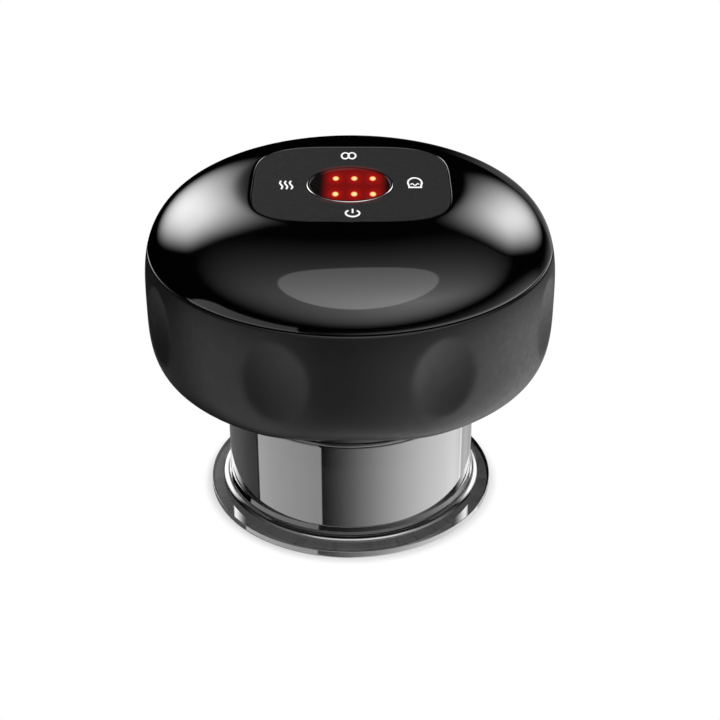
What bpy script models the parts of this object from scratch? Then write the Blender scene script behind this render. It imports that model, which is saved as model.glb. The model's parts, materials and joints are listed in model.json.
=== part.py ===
"""Electric cupping massager: a round two-part housing standing on a push-on suction cup.

Metres, +Z up. The origin is the centre of the cup's foot, on the surface that it stands on.
The power key and the photographed side face -Y, and the charging port faces +Y.
The housing is sized from what it holds: its radius from the pump line and the head, its height from the
stack of pump, board and keypad.
"""
import math

import bmesh
import bpy
from mathutils import Vector

MM = 0.001

# Clearances shared by all pieces
FIT = 0.3 * MM
OVERRUN = 2.0 * MM
MERGE = 0.5 * MM
BAY_GAP = 1.1 * MM

# Facets of the turned pieces
GRIP_STEPS = 72
SHELL_STEPS = 48
HEAD_STEPS = 28
RING_STEPS = 24
DRUM_STEPS = 20
KEY_STEPS = 16
SMALL_STEPS = 8
ARC_STEPS = 2
SMALL_TURN_RADIUS = 6.0 * MM
ROD_TURN_SHARE = 0.5

# Cup: a straight wall, a bead near its foot and a flat flange
CUP_HEIGHT = 28.7 * MM
CUP_RADIUS = 29.8 * MM
CUP_WALL = 2.0 * MM
CUP_EDGE = 0.4 * MM
FLANGE_WIDTH = 4.9 * MM
FLANGE_THICKNESS = 2.8 * MM
FLANGE_ROUNDING = 0.9 * MM
BEAD_WIDTH = 0.9 * MM
BEAD_HEIGHT = 2.0 * MM
BEAD_RISE = 1.0 * MM
MOUTH_CHAMFER = 0.8 * MM

# Head base: flange, neck and spigot in one moulding
HEAD_LAND = 5.2 * MM
HEAD_FLANGE_THICKNESS = 2.0 * MM
HEAD_WALL = 2.2 * MM
NECK_STEP = 1.0 * MM
NECK_DROP = 7.2 * MM
NECK_EDGE = 0.4 * MM
SPIGOT_GAP = 0.6 * MM
SPIGOT_LENGTH = 8.3 * MM
SPIGOT_WALL = 3.2 * MM
SPIGOT_CHAMFER = 0.6 * MM
HEAD_FLOOR = 2.2 * MM
SEAL_SECTION = 0.85 * MM
SEAL_DROP = 4.2 * MM
SEAL_SIDES = 6

# Warm head inside the cup
HEAT_PLATE_INSET = 2.7 * MM
HEAT_PLATE_THICKNESS = 1.0 * MM
HEAT_PLATE_BULGE = 1.6 * MM
HEAT_PLATE_RIM = 2.6 * MM
HEAT_FILM_THICKNESS = 0.5 * MM
AIR_HOLE_RADIUS = 2.0 * MM
FILTER_RADIUS = 4.0 * MM
FILTER_THICKNESS = 0.9 * MM
SENSOR_RADIUS = 1.3 * MM
SENSOR_HEIGHT = 1.6 * MM
SENSOR_REACH = 12.0 * MM

# Grip housing: a superellipse below its widest level, and the dome's lower part above it
LOWER_RISE = 15.6 * MM
LOWER_SWELL = 11.2 * MM
LOWER_POWER = 2.93
GRIP_WALL = 3.3 * MM
GRIP_FLOOR = 2.2 * MM
SEAM_RISE = 14.1 * MM
REVEAL = 0.9 * MM
RIM_LAND = 1.1 * MM
RIM_LEDGE = 1.1 * MM
LOWER_ROW_SHARES = (0.0, 0.03, 0.12, 0.28, 0.5, 0.75)
UPPER_ROW_SHARES = (0.0, 0.25, 0.5, 0.75)
INNER_CORNER_SHARES = (0.0, 0.3, 0.6, 0.85, 1.0)
DIMPLE_COUNT = 8
DIMPLE_TURN = math.radians(2.9)
DIMPLE_WIDTH = 15.0 * MM
DIMPLE_HEIGHT = 19.0 * MM
DIMPLE_DEPTH = 1.5 * MM
DIMPLE_RISE = 1.6 * MM

# Top cover: the upper part of the dome, cut flat at its crown
DOME_POWER = 3.6
CROWN_FLAT = 0.9 * MM
COVER_WALL = 2.2 * MM
POCKET_FLOOR = 1.5 * MM
LIP_THICKNESS = 1.6 * MM
LIP_DEPTH = 4.0 * MM
SEAM_CHAMFER = 0.3 * MM
DOME_ROWS = 7
CEILING_ROWS = 4

# Display: six lamps in their wells, under a window in a thin ring
LED_SPACING_X = 4.2 * MM
LED_SPACING_Y = 9.0 * MM
LED_LENGTH = 2.0 * MM
LED_WIDTH = 1.25 * MM
LED_HEIGHT = 0.8 * MM
GUIDE_WALL = 0.465 * MM
WINDOW_LEDGE = 0.9 * MM
WINDOW_THICKNESS = 1.1 * MM
BEZEL_WIDTH = 0.8 * MM
BEZEL_EDGE = 0.2 * MM

# Keypad and its keys
KEY_RADIUS = 3.4 * MM
KEY_EDGE = 0.2 * MM
KEY_TRAVEL = 0.35 * MM
KEY_POST_RADIUS = 1.3 * MM
SIDE_KEY_LAND = 0.8 * MM
FRONT_KEY_LAND = 2.0 * MM
KEYPAD_SIDE_MARGIN = 4.0 * MM
KEYPAD_FRONT_MARGIN = 1.7 * MM
KEYPAD_POWER = 4.0
KEYPAD_THICKNESS = 1.5 * MM
KEYPAD_EDGE = 0.3 * MM
KEYPAD_STEPS = 40

# Main board and its switches
BOARD_INSET = 11.2 * MM
BOARD_THICKNESS = 1.6 * MM
BOARD_CLEARANCE = 0.5 * MM
SWITCH_SIZE = 4.5 * MM
SWITCH_HEIGHT = 1.9 * MM
SWITCH_ROOM = 0.4 * MM
STEM_RADIUS = 1.0 * MM
STEM_RISE = 1.1 * MM
STEM_ENTRY = 0.5 * MM
CHIP_SIZE = 7.0 * MM
CHIP_HEIGHT = 1.0 * MM
CHIP_CORNER = 0.5 * MM
CHIP_REACH = 13.0 * MM

# Screws
SCREW_COUNT = 3
SCREW_FIRST_ANGLE = math.radians(30)
SCREW_RADIUS = 1.0 * MM
SCREW_HEAD_RADIUS = 2.0 * MM
SCREW_HEAD_HEIGHT = 1.3 * MM
SCREW_DRIVE_RADIUS = 0.8 * MM
SCREW_DRIVE_DEPTH = 0.7 * MM
SCREW_GRIP = 1.2 * MM
BOARD_BOSS_RADIUS = 2.6 * MM
BOARD_BOSS_INSET = 5.0 * MM

# Air parts
NIPPLE_RADIUS = 1.6 * MM
NIPPLE_BORE = 0.8 * MM
NIPPLE_LENGTH = 8.0 * MM
HOSE_WALL = 0.9 * MM
HOSE_SIDES = 8
HOSE_OVERLAP = 3.6 * MM
HOSE_BEND = 5.5 * MM
HOSE_BEND_ROOM = 1.0 * MM
HOSE_DRIFT_SHARE = 0.4
TEE_SIZE = 7.0 * MM
TEE_RISE = 7.0 * MM
TEE_CORNER = 0.8 * MM

# Inner frame
FRAME_THICKNESS = 1.6 * MM
FRAME_HOLE_RADIUS = 8.0 * MM
CRADLE_FLOOR = 1.5 * MM
CRADLE_THICKNESS = 2.4 * MM
CRADLE_WALL = 1.2 * MM
CRADLE_HEIGHT = 6.0 * MM
FENCE_HEIGHT = 4.0 * MM
FENCE_WALL = 0.5 * MM
SHELF_RISE = 4.5 * MM
SHELF_LENGTH = 5.0 * MM
SHELF_INSET = 0.5 * MM

# Battery cell
CELL_RADIUS = 9.1 * MM
CELL_LENGTH = 50.0 * MM
CELL_TERMINAL_RADIUS = 3.0 * MM
CELL_TERMINAL_RISE = 1.0 * MM
CELL_ROUNDING = 0.8 * MM
CELL_CRADLE_REACH = 15.0 * MM

# Pump line, along X
MOTOR_RADIUS = 12.2 * MM
MOTOR_LENGTH = 30.8 * MM
MOTOR_ROUNDING = 1.2 * MM
MOTOR_BOSS_RADIUS = 3.1 * MM
MOTOR_BOSS_RISE = 1.5 * MM
MOTOR_BORE_DEPTH = 8.0 * MM
MOTOR_CRADLE_INSET = 6.0 * MM
PUMP_SHIFT = 2.85 * MM
PUMP_CLEARANCE = 0.89 * MM
SHAFT_RADIUS = 1.0 * MM
SHAFT_TIP = 1.6 * MM
SHAFT_GAP = 0.5 * MM
HEAD_MARGIN = 0.8 * MM
HEAD_CORNER = 3.0 * MM
HEAD_END_WALL = 2.0 * MM
CHAMBER_WALL = 2.5 * MM
CAM_RADIUS = 4.5 * MM
CAM_OFFSET = 1.4 * MM
CAM_THICKNESS = 5.0 * MM
CAM_GAP = 1.0 * MM
DIAPHRAGM_THICKNESS = 1.2 * MM
DIAPHRAGM_BOSS_RADIUS = 3.0 * MM
DIAPHRAGM_BOSS_RISE = 2.2 * MM
CAP_LENGTH = 6.0 * MM
CAP_EDGE = 0.4 * MM
NOZZLE_LENGTH = 4.5 * MM
NOZZLE_RISE = 8.0 * MM

# Release valve, along Z
VALVE_LENGTH = 11.0 * MM
VALVE_DEPTH = 10.0 * MM
VALVE_HEIGHT = 18.0 * MM
VALVE_CORNER = 1.0 * MM
VALVE_NOZZLE_LENGTH = 4.0 * MM
PLUNGER_RADIUS = 2.6 * MM
PLUNGER_ENTRY = 9.0 * MM
PLUNGER_HEAD_RADIUS = 4.4 * MM
PLUNGER_HEAD_HEIGHT = 1.0 * MM
PLUNGER_TRAVEL = 1.5 * MM
SPRING_WIRE = 0.3 * MM
SPRING_HEIGHT = 5.2 * MM
SPRING_TURNS = 4
SPRING_TURN_POINTS = 10
SPRING_SIDES = 5

# Charging port in the back of the grip
PORT_WIDTH = 8.94 * MM
PORT_HEIGHT = 3.26 * MM
PORT_WALL = 0.35 * MM
PORT_LENGTH = 7.3 * MM
PORT_DEPTH = 6.2 * MM
PORT_INSET = 0.9 * MM
TONGUE_WIDTH = 6.6 * MM
TONGUE_THICKNESS = 0.7 * MM
TONGUE_LENGTH = 4.9 * MM
CHARGE_BOARD_WIDTH = 14.0 * MM
CHARGE_BOARD_LENGTH = 12.0 * MM
CHARGE_BOARD_THICKNESS = 1.0 * MM
CHARGE_BOARD_CORNER = 0.8 * MM
CHARGE_BOARD_INSET = 3.5 * MM

# Leads
LEAD_RADIUS = 0.7 * MM
LEAD_SIDES = 6
LEAD_STEPS = 2
LEAD_REACH = 3.0 * MM
HEATER_LEAD_REACH = 12.0 * MM
HEATER_LEAD_RISE_REACH = 5.2 * MM

# Levels from the foot up to the inner frame
NECK_BOTTOM = CUP_HEIGHT + FIT
UNDERSIDE = NECK_BOTTOM + NECK_DROP
FLOOR_TOP = UNDERSIDE + GRIP_FLOOR
HEAD_FLANGE_BOTTOM = FLOOR_TOP + FIT
HEAD_FLANGE_TOP = HEAD_FLANGE_BOTTOM + HEAD_FLANGE_THICKNESS
FRAME_BOTTOM = HEAD_FLANGE_TOP + FIT
FRAME_TOP = FRAME_BOTTOM + FRAME_THICKNESS
SPIGOT_BOTTOM = NECK_BOTTOM - SPIGOT_LENGTH
HEAD_FLOOR_TOP = SPIGOT_BOTTOM + HEAD_FLOOR
NIPPLE_TOP = HEAD_FLOOR_TOP + NIPPLE_LENGTH

# Radii of the cup, the neck and the warm head
CUP_INNER_RADIUS = CUP_RADIUS - CUP_WALL
NECK_RADIUS = CUP_RADIUS + NECK_STEP
SPIGOT_RADIUS = CUP_INNER_RADIUS - SPIGOT_GAP
SPIGOT_INNER_RADIUS = SPIGOT_RADIUS - SPIGOT_WALL
SEAL_RADIUS = CUP_INNER_RADIUS - FIT - SEAL_SECTION
HEAT_PLATE_RADIUS = SPIGOT_RADIUS - HEAT_PLATE_INSET
HOSE_BORE = NIPPLE_RADIUS + FIT
HOSE_RADIUS = HOSE_BORE + HOSE_WALL

# Pump line, beside the valve's bay
SHAFT_REACH = HEAD_END_WALL + CAM_GAP + CAM_THICKNESS + SHAFT_TIP
HEAD_LENGTH = SHAFT_REACH + SHAFT_GAP + DIAPHRAGM_BOSS_RISE - FIT
HEAD_SIZE = 2 * (MOTOR_RADIUS + HEAD_MARGIN)
PUMP_LENGTH = MOTOR_LENGTH + HEAD_LENGTH + DIAPHRAGM_THICKNESS + CAP_LENGTH + 3 * FIT
PUMP_Y = -(VALVE_DEPTH / 2 + BAY_GAP + HEAD_SIZE / 2)
PUMP_Z = FRAME_TOP + CRADLE_FLOOR + FIT + MOTOR_RADIUS
MOTOR_START = -PUMP_LENGTH / 2 - PUMP_SHIFT
MOTOR_END = MOTOR_START + MOTOR_LENGTH
PUMP_HEAD_START = MOTOR_END + FIT
DIAPHRAGM_START = PUMP_HEAD_START + HEAD_LENGTH + FIT
CAP_START = DIAPHRAGM_START + DIAPHRAGM_THICKNESS + FIT
CAP_END = CAP_START + CAP_LENGTH
NOZZLE_X = CAP_START + CAP_LENGTH / 2
NOZZLE_Y = PUMP_Y + HEAD_SIZE / 2
NOZZLE_Z = PUMP_Z + NOZZLE_RISE

# Valve past the pump's hose, cell beside it
VALVE_REACH = NOZZLE_X + HOSE_RADIUS + HOSE_BEND_ROOM + VALVE_LENGTH / 2
VALVE_BOTTOM = FRAME_TOP + FIT
VALVE_TOP = VALVE_BOTTOM + VALVE_HEIGHT
SPRING_BOTTOM = VALVE_TOP + SPRING_WIRE + FIT
PLUNGER_HEAD_BOTTOM = SPRING_BOTTOM + SPRING_HEIGHT + SPRING_WIRE + FIT
PLUNGER_TOP = PLUNGER_HEAD_BOTTOM + PLUNGER_HEAD_HEIGHT
TEE_LEVEL = VALVE_BOTTOM + TEE_RISE
CELL_Y = VALVE_DEPTH / 2 + BAY_GAP + CELL_RADIUS
CELL_Z = FRAME_TOP + CRADLE_FLOOR + FIT + CELL_RADIUS

# Housing's radii, as wide as the head, the valve and the pump line need
HEAD_ROOM = max(NECK_RADIUS + HEAD_LAND, VALVE_REACH + VALVE_LENGTH / 2 + 2 * FIT + FENCE_WALL)
PUMP_ROOM = max(math.hypot(MOTOR_START + MOTOR_ROUNDING, PUMP_Y - MOTOR_RADIUS),
                math.hypot(CAP_END, PUMP_Y - HEAD_SIZE / 2))
BODY_RADIUS = max(HEAD_ROOM + FIT + LOWER_SWELL,
                  PUMP_ROOM + PUMP_CLEARANCE + LIP_THICKNESS + FIT + GRIP_WALL)
UNDERSIDE_RADIUS = BODY_RADIUS - LOWER_SWELL
HEAD_FLANGE_RADIUS = UNDERSIDE_RADIUS - FIT
HEAD_SCREW_REACH = (NECK_RADIUS + HEAD_FLANGE_RADIUS) / 2
GRIP_INNER_RADIUS = BODY_RADIUS - GRIP_WALL
LIP_OUTER_RADIUS = GRIP_INNER_RADIUS - FIT
LIP_INNER_RADIUS = LIP_OUTER_RADIUS - LIP_THICKNESS
BOARD_RADIUS = GRIP_INNER_RADIUS - BOARD_INSET
BOARD_BOSS_REACH = BOARD_RADIUS - BOARD_BOSS_INSET

# Levels from the pump up to the crown
PUMP_TOP = max(PUMP_Z + HEAD_SIZE / 2, PLUNGER_TOP)
BOARD_BOTTOM = PUMP_TOP + BOARD_CLEARANCE + SCREW_HEAD_HEIGHT + FIT
BOARD_TOP = BOARD_BOTTOM + BOARD_THICKNESS
BOARD_GAP = FIT + SWITCH_HEIGHT + SWITCH_ROOM
CEILING = BOARD_TOP + BOARD_GAP
POCKET_TOP = CEILING + POCKET_FLOOR
CROWN = POCKET_TOP + FIT + KEYPAD_THICKNESS
WIDEST = UNDERSIDE + LOWER_RISE
DOME_RISE = CROWN + CROWN_FLAT - WIDEST
SEAM = WIDEST + SEAM_RISE
RIM_TOP = SEAM - REVEAL / 2
COVER_BOTTOM = SEAM + REVEAL / 2

# Display and keypad, from the lamps outwards
LED_WELL_RADIUS = math.hypot(LED_LENGTH, LED_WIDTH) / 2 + FIT
GUIDE_RADIUS = math.hypot(LED_SPACING_X, LED_SPACING_Y / 2) + LED_WELL_RADIUS + GUIDE_WALL
WINDOW_HOLE_RADIUS = GUIDE_RADIUS + FIT
WINDOW_RADIUS = WINDOW_HOLE_RADIUS + WINDOW_LEDGE
BEZEL_INNER_RADIUS = WINDOW_RADIUS + FIT
BEZEL_OUTER_RADIUS = BEZEL_INNER_RADIUS + BEZEL_WIDTH
SIDE_KEY_REACH = BEZEL_OUTER_RADIUS + SIDE_KEY_LAND + 2 * FIT + KEY_RADIUS
FRONT_KEY_REACH = BEZEL_OUTER_RADIUS + FRONT_KEY_LAND + 2 * FIT + KEY_RADIUS
KEYPAD_HALF_WIDTH = SIDE_KEY_REACH + KEY_RADIUS + KEYPAD_SIDE_MARGIN
KEYPAD_HALF_DEPTH = FRONT_KEY_REACH + KEY_RADIUS + KEYPAD_FRONT_MARGIN

# Charging port
CHARGE_BOARD_BOTTOM = FRAME_TOP + SHELF_RISE + FIT
CHARGE_BOARD_TOP = CHARGE_BOARD_BOTTOM + CHARGE_BOARD_THICKNESS
PORT_Z = CHARGE_BOARD_TOP + FIT + PORT_HEIGHT / 2
PORT_MOUTH = BODY_RADIUS - PORT_INSET
CHARGE_BOARD_END = PORT_MOUTH - CHARGE_BOARD_INSET

KEY_PLACES = {
    "heat": (-SIDE_KEY_REACH, 0.0),
    "suction": (SIDE_KEY_REACH, 0.0),
    "mode": (0.0, FRONT_KEY_REACH),
    "power": (0.0, -FRONT_KEY_REACH),
}


def clear_scene():
    """Take away every object that the file opened with."""
    for item in list(bpy.data.objects):
        bpy.data.objects.remove(item, do_unlink=True)


def finish(name, colour, roughness, metallic=0.0, alpha=1.0):
    """A Principled material in one colour."""
    made = bpy.data.materials.new(name)
    made.use_nodes = True
    shader = made.node_tree.nodes["Principled BSDF"]
    shader.inputs["Base Color"].default_value = (*colour, 1.0)
    shader.inputs["Roughness"].default_value = roughness
    shader.inputs["Metallic"].default_value = metallic
    shader.inputs["Alpha"].default_value = alpha
    return made


def solid(name, mesh, place=(0.0, 0.0, 0.0), turn=(0.0, 0.0, 0.0), look=None):
    """An object from a bmesh, with its faces turned outwards and its round sides smooth."""
    bmesh.ops.recalc_face_normals(mesh, faces=mesh.faces)
    data = bpy.data.meshes.new(name)
    mesh.to_mesh(data)
    mesh.free()
    data.shade_smooth()
    data.set_sharp_from_angle(angle=math.radians(35))
    made = bpy.data.objects.new(name, data)
    made.location = place
    made.rotation_euler = turn
    bpy.context.scene.collection.objects.link(made)
    if look:
        data.materials.append(look)
    return made


def combine(body, tool, operation="DIFFERENCE"):
    """Cut a hidden tool from a body, or fuse it on."""
    step = body.modifiers.new(tool.name, "BOOLEAN")
    step.operation = operation
    step.solver = "EXACT"
    step.object = tool
    tool.hide_render = True
    tool.display_type = "WIRE"


def circle(radius, height, count, centre=(0.0, 0.0), turn=0.0):
    """Points round a level circle, turned by a share of a step, or its centre alone if it has no radius."""
    if radius == 0.0:
        return [(centre[0], centre[1], height)]
    angles = [math.tau * (step + turn) / count for step in range(count)]
    return [(centre[0] + radius * math.cos(a), centre[1] + radius * math.sin(a), height) for a in angles]


def rounded(half_x, half_y, corner, height, centre=(0.0, 0.0)):
    """Points round a level rectangle, with round corners where a corner radius is given."""
    if not corner:
        return [(centre[0] + x * half_x, centre[1] + y * half_y, height)
                for x, y in ((1, 1), (-1, 1), (-1, -1), (1, -1))]
    points = []
    for quarter in range(4):
        side_x = 1 if quarter in (0, 3) else -1
        side_y = 1 if quarter in (0, 1) else -1
        for step in range(ARC_STEPS + 1):
            angle = math.pi / 2 * (quarter + step / ARC_STEPS)
            points.append((centre[0] + side_x * (half_x - corner) + corner * math.cos(angle),
                           centre[1] + side_y * (half_y - corner) + corner * math.sin(angle), height))
    return points


def keypad_ring(inset, height):
    """Points round the keypad's outline, a level superellipse, drawn in or let out by an inset."""
    half_x, half_y = KEYPAD_HALF_WIDTH - inset, KEYPAD_HALF_DEPTH - inset
    points = []
    for step in range(KEYPAD_STEPS):
        angle = math.tau * step / KEYPAD_STEPS
        c, s = math.cos(angle), math.sin(angle)
        points.append((math.copysign(abs(c) ** (2 / KEYPAD_POWER), c) * half_x,
                       math.copysign(abs(s) ** (2 / KEYPAD_POWER), s) * half_y, height))
    return points


def bridge(mesh, first, second):
    """Faces between two rings of like count, between a ring and one of half its count, or to a point."""
    if len(first) < len(second):
        first, second = second, first
    count = len(first)
    for step in range(count):
        a, b = first[step], first[(step + 1) % count]
        if len(second) == 1:
            mesh.faces.new((a, b, second[0]))
        elif len(second) == count:
            mesh.faces.new((a, b, second[(step + 1) % count], second[step]))
        elif step % 2 == 0:
            mesh.faces.new((a, b, second[step // 2]))
        else:
            far = second[(step // 2 + 1) % len(second)]
            mesh.faces.new((a, b, far))
            mesh.faces.new((a, far, second[step // 2]))


def loft(rings, loop=False, mesh=None):
    """Closed skin over a row of rings. A loop joins the last to the first, or else both ends are capped."""
    mesh = mesh or bmesh.new()
    rows = [[mesh.verts.new(point) for point in ring] for ring in rings]
    for first, second in zip(rows, rows[1:]):
        bridge(mesh, first, second)
    if loop:
        bridge(mesh, rows[-1], rows[0])
        return mesh
    for end in (rows[0], rows[-1]):
        if len(end) > 1:
            mesh.faces.new(end)
    return mesh


def turned(outline, count, loop=True, fine=None):
    """Solid turned about Z from (radius, height) points. Small radii, and points past the fine ones, get
    half the facets."""
    rings = []
    for place, (radius, height) in enumerate(outline):
        coarse = radius <= SMALL_TURN_RADIUS or (fine is not None and place >= fine)
        rings.append(circle(radius, height, count // 2 if coarse else count))
    return loft(rings, loop)


def rod(radius, low, high, count, centre=(0.0, 0.0), mesh=None):
    """Plain round bar between two levels, turned half a step so that it cuts turned pieces cleanly."""
    return loft([circle(radius, level, count, centre, ROD_TURN_SHARE) for level in (low, high)], mesh=mesh)


def rods(places, radius, low, high, count):
    """Several like bars in one mesh, for a pattern of holes or bosses."""
    mesh = bmesh.new()
    for centre in places:
        rod(radius, low, high, count, centre, mesh)
    return mesh


def slab(half_x, half_y, corner, low, high, edge=0.0, centre=(0.0, 0.0)):
    """Plate with round corners, and with its top and bottom edges broken where an edge is given."""
    rings = [rounded(half_x, half_y, corner, low + edge, centre),
             rounded(half_x, half_y, corner, high - edge, centre)]
    if edge:
        rings.insert(0, rounded(half_x - edge, half_y - edge, corner - edge, low, centre))
        rings.append(rounded(half_x - edge, half_y - edge, corner - edge, high, centre))
    return loft(rings)


def smooth_path(corners, steps):
    """Catmull-Rom curve through the given points, ends included."""
    points = [Vector(corner) for corner in corners]
    padded = [2 * points[0] - points[1], *points, 2 * points[-1] - points[-2]]
    path = []
    for a, b, c, d in zip(padded, padded[1:], padded[2:], padded[3:]):
        for step in range(steps):
            t = step / steps
            path.append(0.5 * (2 * b + (c - a) * t + (2 * a - 5 * b + 4 * c - d) * t * t
                               + (3 * b - a - 3 * c + d) * t * t * t))
    return path + [points[-1]]


def tube(path, radius, sides, bore=0.0):
    """Round tube along a path, hollow where a bore is given."""
    outer, inner = [], []
    ahead = (path[1] - path[0]).normalized()
    side = ahead.orthogonal().normalized()
    for step, point in enumerate(path):
        before, after = path[max(step - 1, 0)], path[min(step + 1, len(path) - 1)]
        ahead = (after - before).normalized()
        side = (side - ahead * side.dot(ahead)).normalized()
        across = ahead.cross(side)
        round_about = [math.tau * k / sides for k in range(sides)]
        outer.append([point + (side * math.cos(a) + across * math.sin(a)) * radius for a in round_about])
        inner.append([point + (side * math.cos(a) + across * math.sin(a)) * bore for a in round_about])
    if bore:
        return loft(outer + inner[::-1], loop=True)
    return loft(outer)


def screw_places(reach):
    """Centres of the screws, evenly round the axis."""
    angles = [SCREW_FIRST_ANGLE + math.tau * step / SCREW_COUNT for step in range(SCREW_COUNT)]
    return [(reach * math.cos(angle), reach * math.sin(angle)) for angle in angles]


def dome_radius(height):
    """Outer radius of the housing at a level, above or below its widest one."""
    if height >= WIDEST:
        share = min((height - WIDEST) / DOME_RISE, 1.0)
        return BODY_RADIUS * (1 - share ** DOME_POWER) ** (1 / DOME_POWER)
    share = min((WIDEST - height) / LOWER_RISE, 1.0)
    swell = BODY_RADIUS - UNDERSIDE_RADIUS
    return UNDERSIDE_RADIUS + swell * (1 - share ** LOWER_POWER) ** (1 / LOWER_POWER)


def dome_outline(radius, rise, start, end, rows):
    """Points up a superellipse quarter, between two levels, evenly round its parameter."""
    first, last = (math.asin(((level - WIDEST) / rise) ** (DOME_POWER / 2)) for level in (start, end))
    points = []
    for row in range(rows + 1):
        angle = first + (last - first) * row / rows
        points.append((radius * math.cos(angle) ** (2 / DOME_POWER),
                       WIDEST + rise * math.sin(angle) ** (2 / DOME_POWER)))
    return points


def dimple_depth(angle, height):
    """How deep the finger dimples are at one place on the grip."""
    pitch = math.tau / DIMPLE_COUNT
    off_centre = (angle - DIMPLE_TURN) % pitch - pitch / 2
    across = off_centre * BODY_RADIUS / (DIMPLE_WIDTH / 2)
    along = (height - WIDEST - DIMPLE_RISE) / (DIMPLE_HEIGHT / 2)
    reach = across ** 2 + along ** 2
    return DIMPLE_DEPTH * (1 - reach) ** 2 * (1 + 2 * reach) if reach < 1 else 0.0


def make_cup(look):
    """Clear cup: the wall slides on the spigot, and the flange stands on the skin."""
    bead_top = FLANGE_THICKNESS + BEAD_RISE + BEAD_HEIGHT
    flange = CUP_RADIUS + FLANGE_WIDTH
    bead = CUP_RADIUS + BEAD_WIDTH
    outline = [
        (CUP_INNER_RADIUS, CUP_HEIGHT),
        (CUP_RADIUS - CUP_EDGE, CUP_HEIGHT),
        (CUP_RADIUS, CUP_HEIGHT - CUP_EDGE),
        (CUP_RADIUS, bead_top + BEAD_WIDTH),
        (bead, bead_top),
        (bead, bead_top - BEAD_HEIGHT + CUP_EDGE),
        (bead - CUP_EDGE, bead_top - BEAD_HEIGHT),
        (bead, FLANGE_THICKNESS + CUP_EDGE),
        (bead + BEAD_WIDTH, FLANGE_THICKNESS),
        (flange - FLANGE_ROUNDING, FLANGE_THICKNESS),
        (flange, FLANGE_THICKNESS - FLANGE_ROUNDING),
        (flange, FLANGE_ROUNDING),
        (flange - FLANGE_ROUNDING, 0.0),
        (CUP_INNER_RADIUS + MOUTH_CHAMFER, 0.0),
        (CUP_INNER_RADIUS, MOUTH_CHAMFER),
    ]
    return solid("cup", turned(outline, SHELL_STEPS), look=look)


def make_cup_seal(look):
    """Round-section ring in the spigot's groove."""
    level = NECK_BOTTOM - SEAL_DROP
    outline = []
    for step in range(SEAL_SIDES):
        angle = math.tau * step / SEAL_SIDES
        outline.append((SEAL_RADIUS + SEAL_SECTION * math.cos(angle),
                        level + SEAL_SECTION * math.sin(angle)))
    return solid("cup_seal", turned(outline, HEAD_STEPS), look=look)


def make_head_base(look):
    """Flange on the grip's floor, neck through it, and the spigot and air nipple in the cup."""
    groove_radius = SEAL_RADIUS - SEAL_SECTION - FIT
    groove_half = SEAL_SECTION + FIT
    groove_level = NECK_BOTTOM - SEAL_DROP
    neck_inner = NECK_RADIUS - HEAD_WALL
    shoulder_top = NECK_BOTTOM + HEAD_WALL
    pocket_top = SPIGOT_BOTTOM + FILTER_THICKNESS + FIT
    outline = [
        (NIPPLE_BORE, pocket_top),
        (FILTER_RADIUS + FIT, pocket_top),
        (FILTER_RADIUS + FIT, SPIGOT_BOTTOM),
        (SPIGOT_RADIUS - SPIGOT_CHAMFER, SPIGOT_BOTTOM),
        (SPIGOT_RADIUS, SPIGOT_BOTTOM + SPIGOT_CHAMFER),
        (SPIGOT_RADIUS, groove_level - groove_half),
        (groove_radius, groove_level - groove_half),
        (groove_radius, groove_level + groove_half),
        (SPIGOT_RADIUS, groove_level + groove_half),
        (SPIGOT_RADIUS, NECK_BOTTOM),
        (NECK_RADIUS - NECK_EDGE, NECK_BOTTOM),
        (NECK_RADIUS, NECK_BOTTOM + NECK_EDGE),
        (NECK_RADIUS, HEAD_FLANGE_BOTTOM),
        (HEAD_FLANGE_RADIUS, HEAD_FLANGE_BOTTOM),
        (HEAD_FLANGE_RADIUS, HEAD_FLANGE_TOP),
        (neck_inner, HEAD_FLANGE_TOP),
        (neck_inner, shoulder_top),
        (SPIGOT_INNER_RADIUS, shoulder_top),
        (SPIGOT_INNER_RADIUS, HEAD_FLOOR_TOP),
        (NIPPLE_RADIUS, HEAD_FLOOR_TOP),
        (NIPPLE_RADIUS, NIPPLE_TOP),
        (NIPPLE_BORE, NIPPLE_TOP),
    ]
    body = solid("head_base", turned(outline, HEAD_STEPS), look=look)
    low, high = SPIGOT_BOTTOM - OVERRUN, HEAD_FLOOR_TOP + OVERRUN
    holes = rod(SENSOR_RADIUS + FIT, low, high, SMALL_STEPS, (SENSOR_REACH, 0.0))
    rod(LEAD_RADIUS + FIT, low, high, SMALL_STEPS, (-HEATER_LEAD_REACH, 0.0), holes)
    combine(body, solid("head_floor_holes", holes))
    drills = rods(screw_places(HEAD_SCREW_REACH), SCREW_RADIUS + FIT, HEAD_FLANGE_BOTTOM - OVERRUN,
                  HEAD_FLANGE_TOP + OVERRUN, SMALL_STEPS)
    combine(body, solid("head_screw_drills", drills))
    return body


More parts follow.
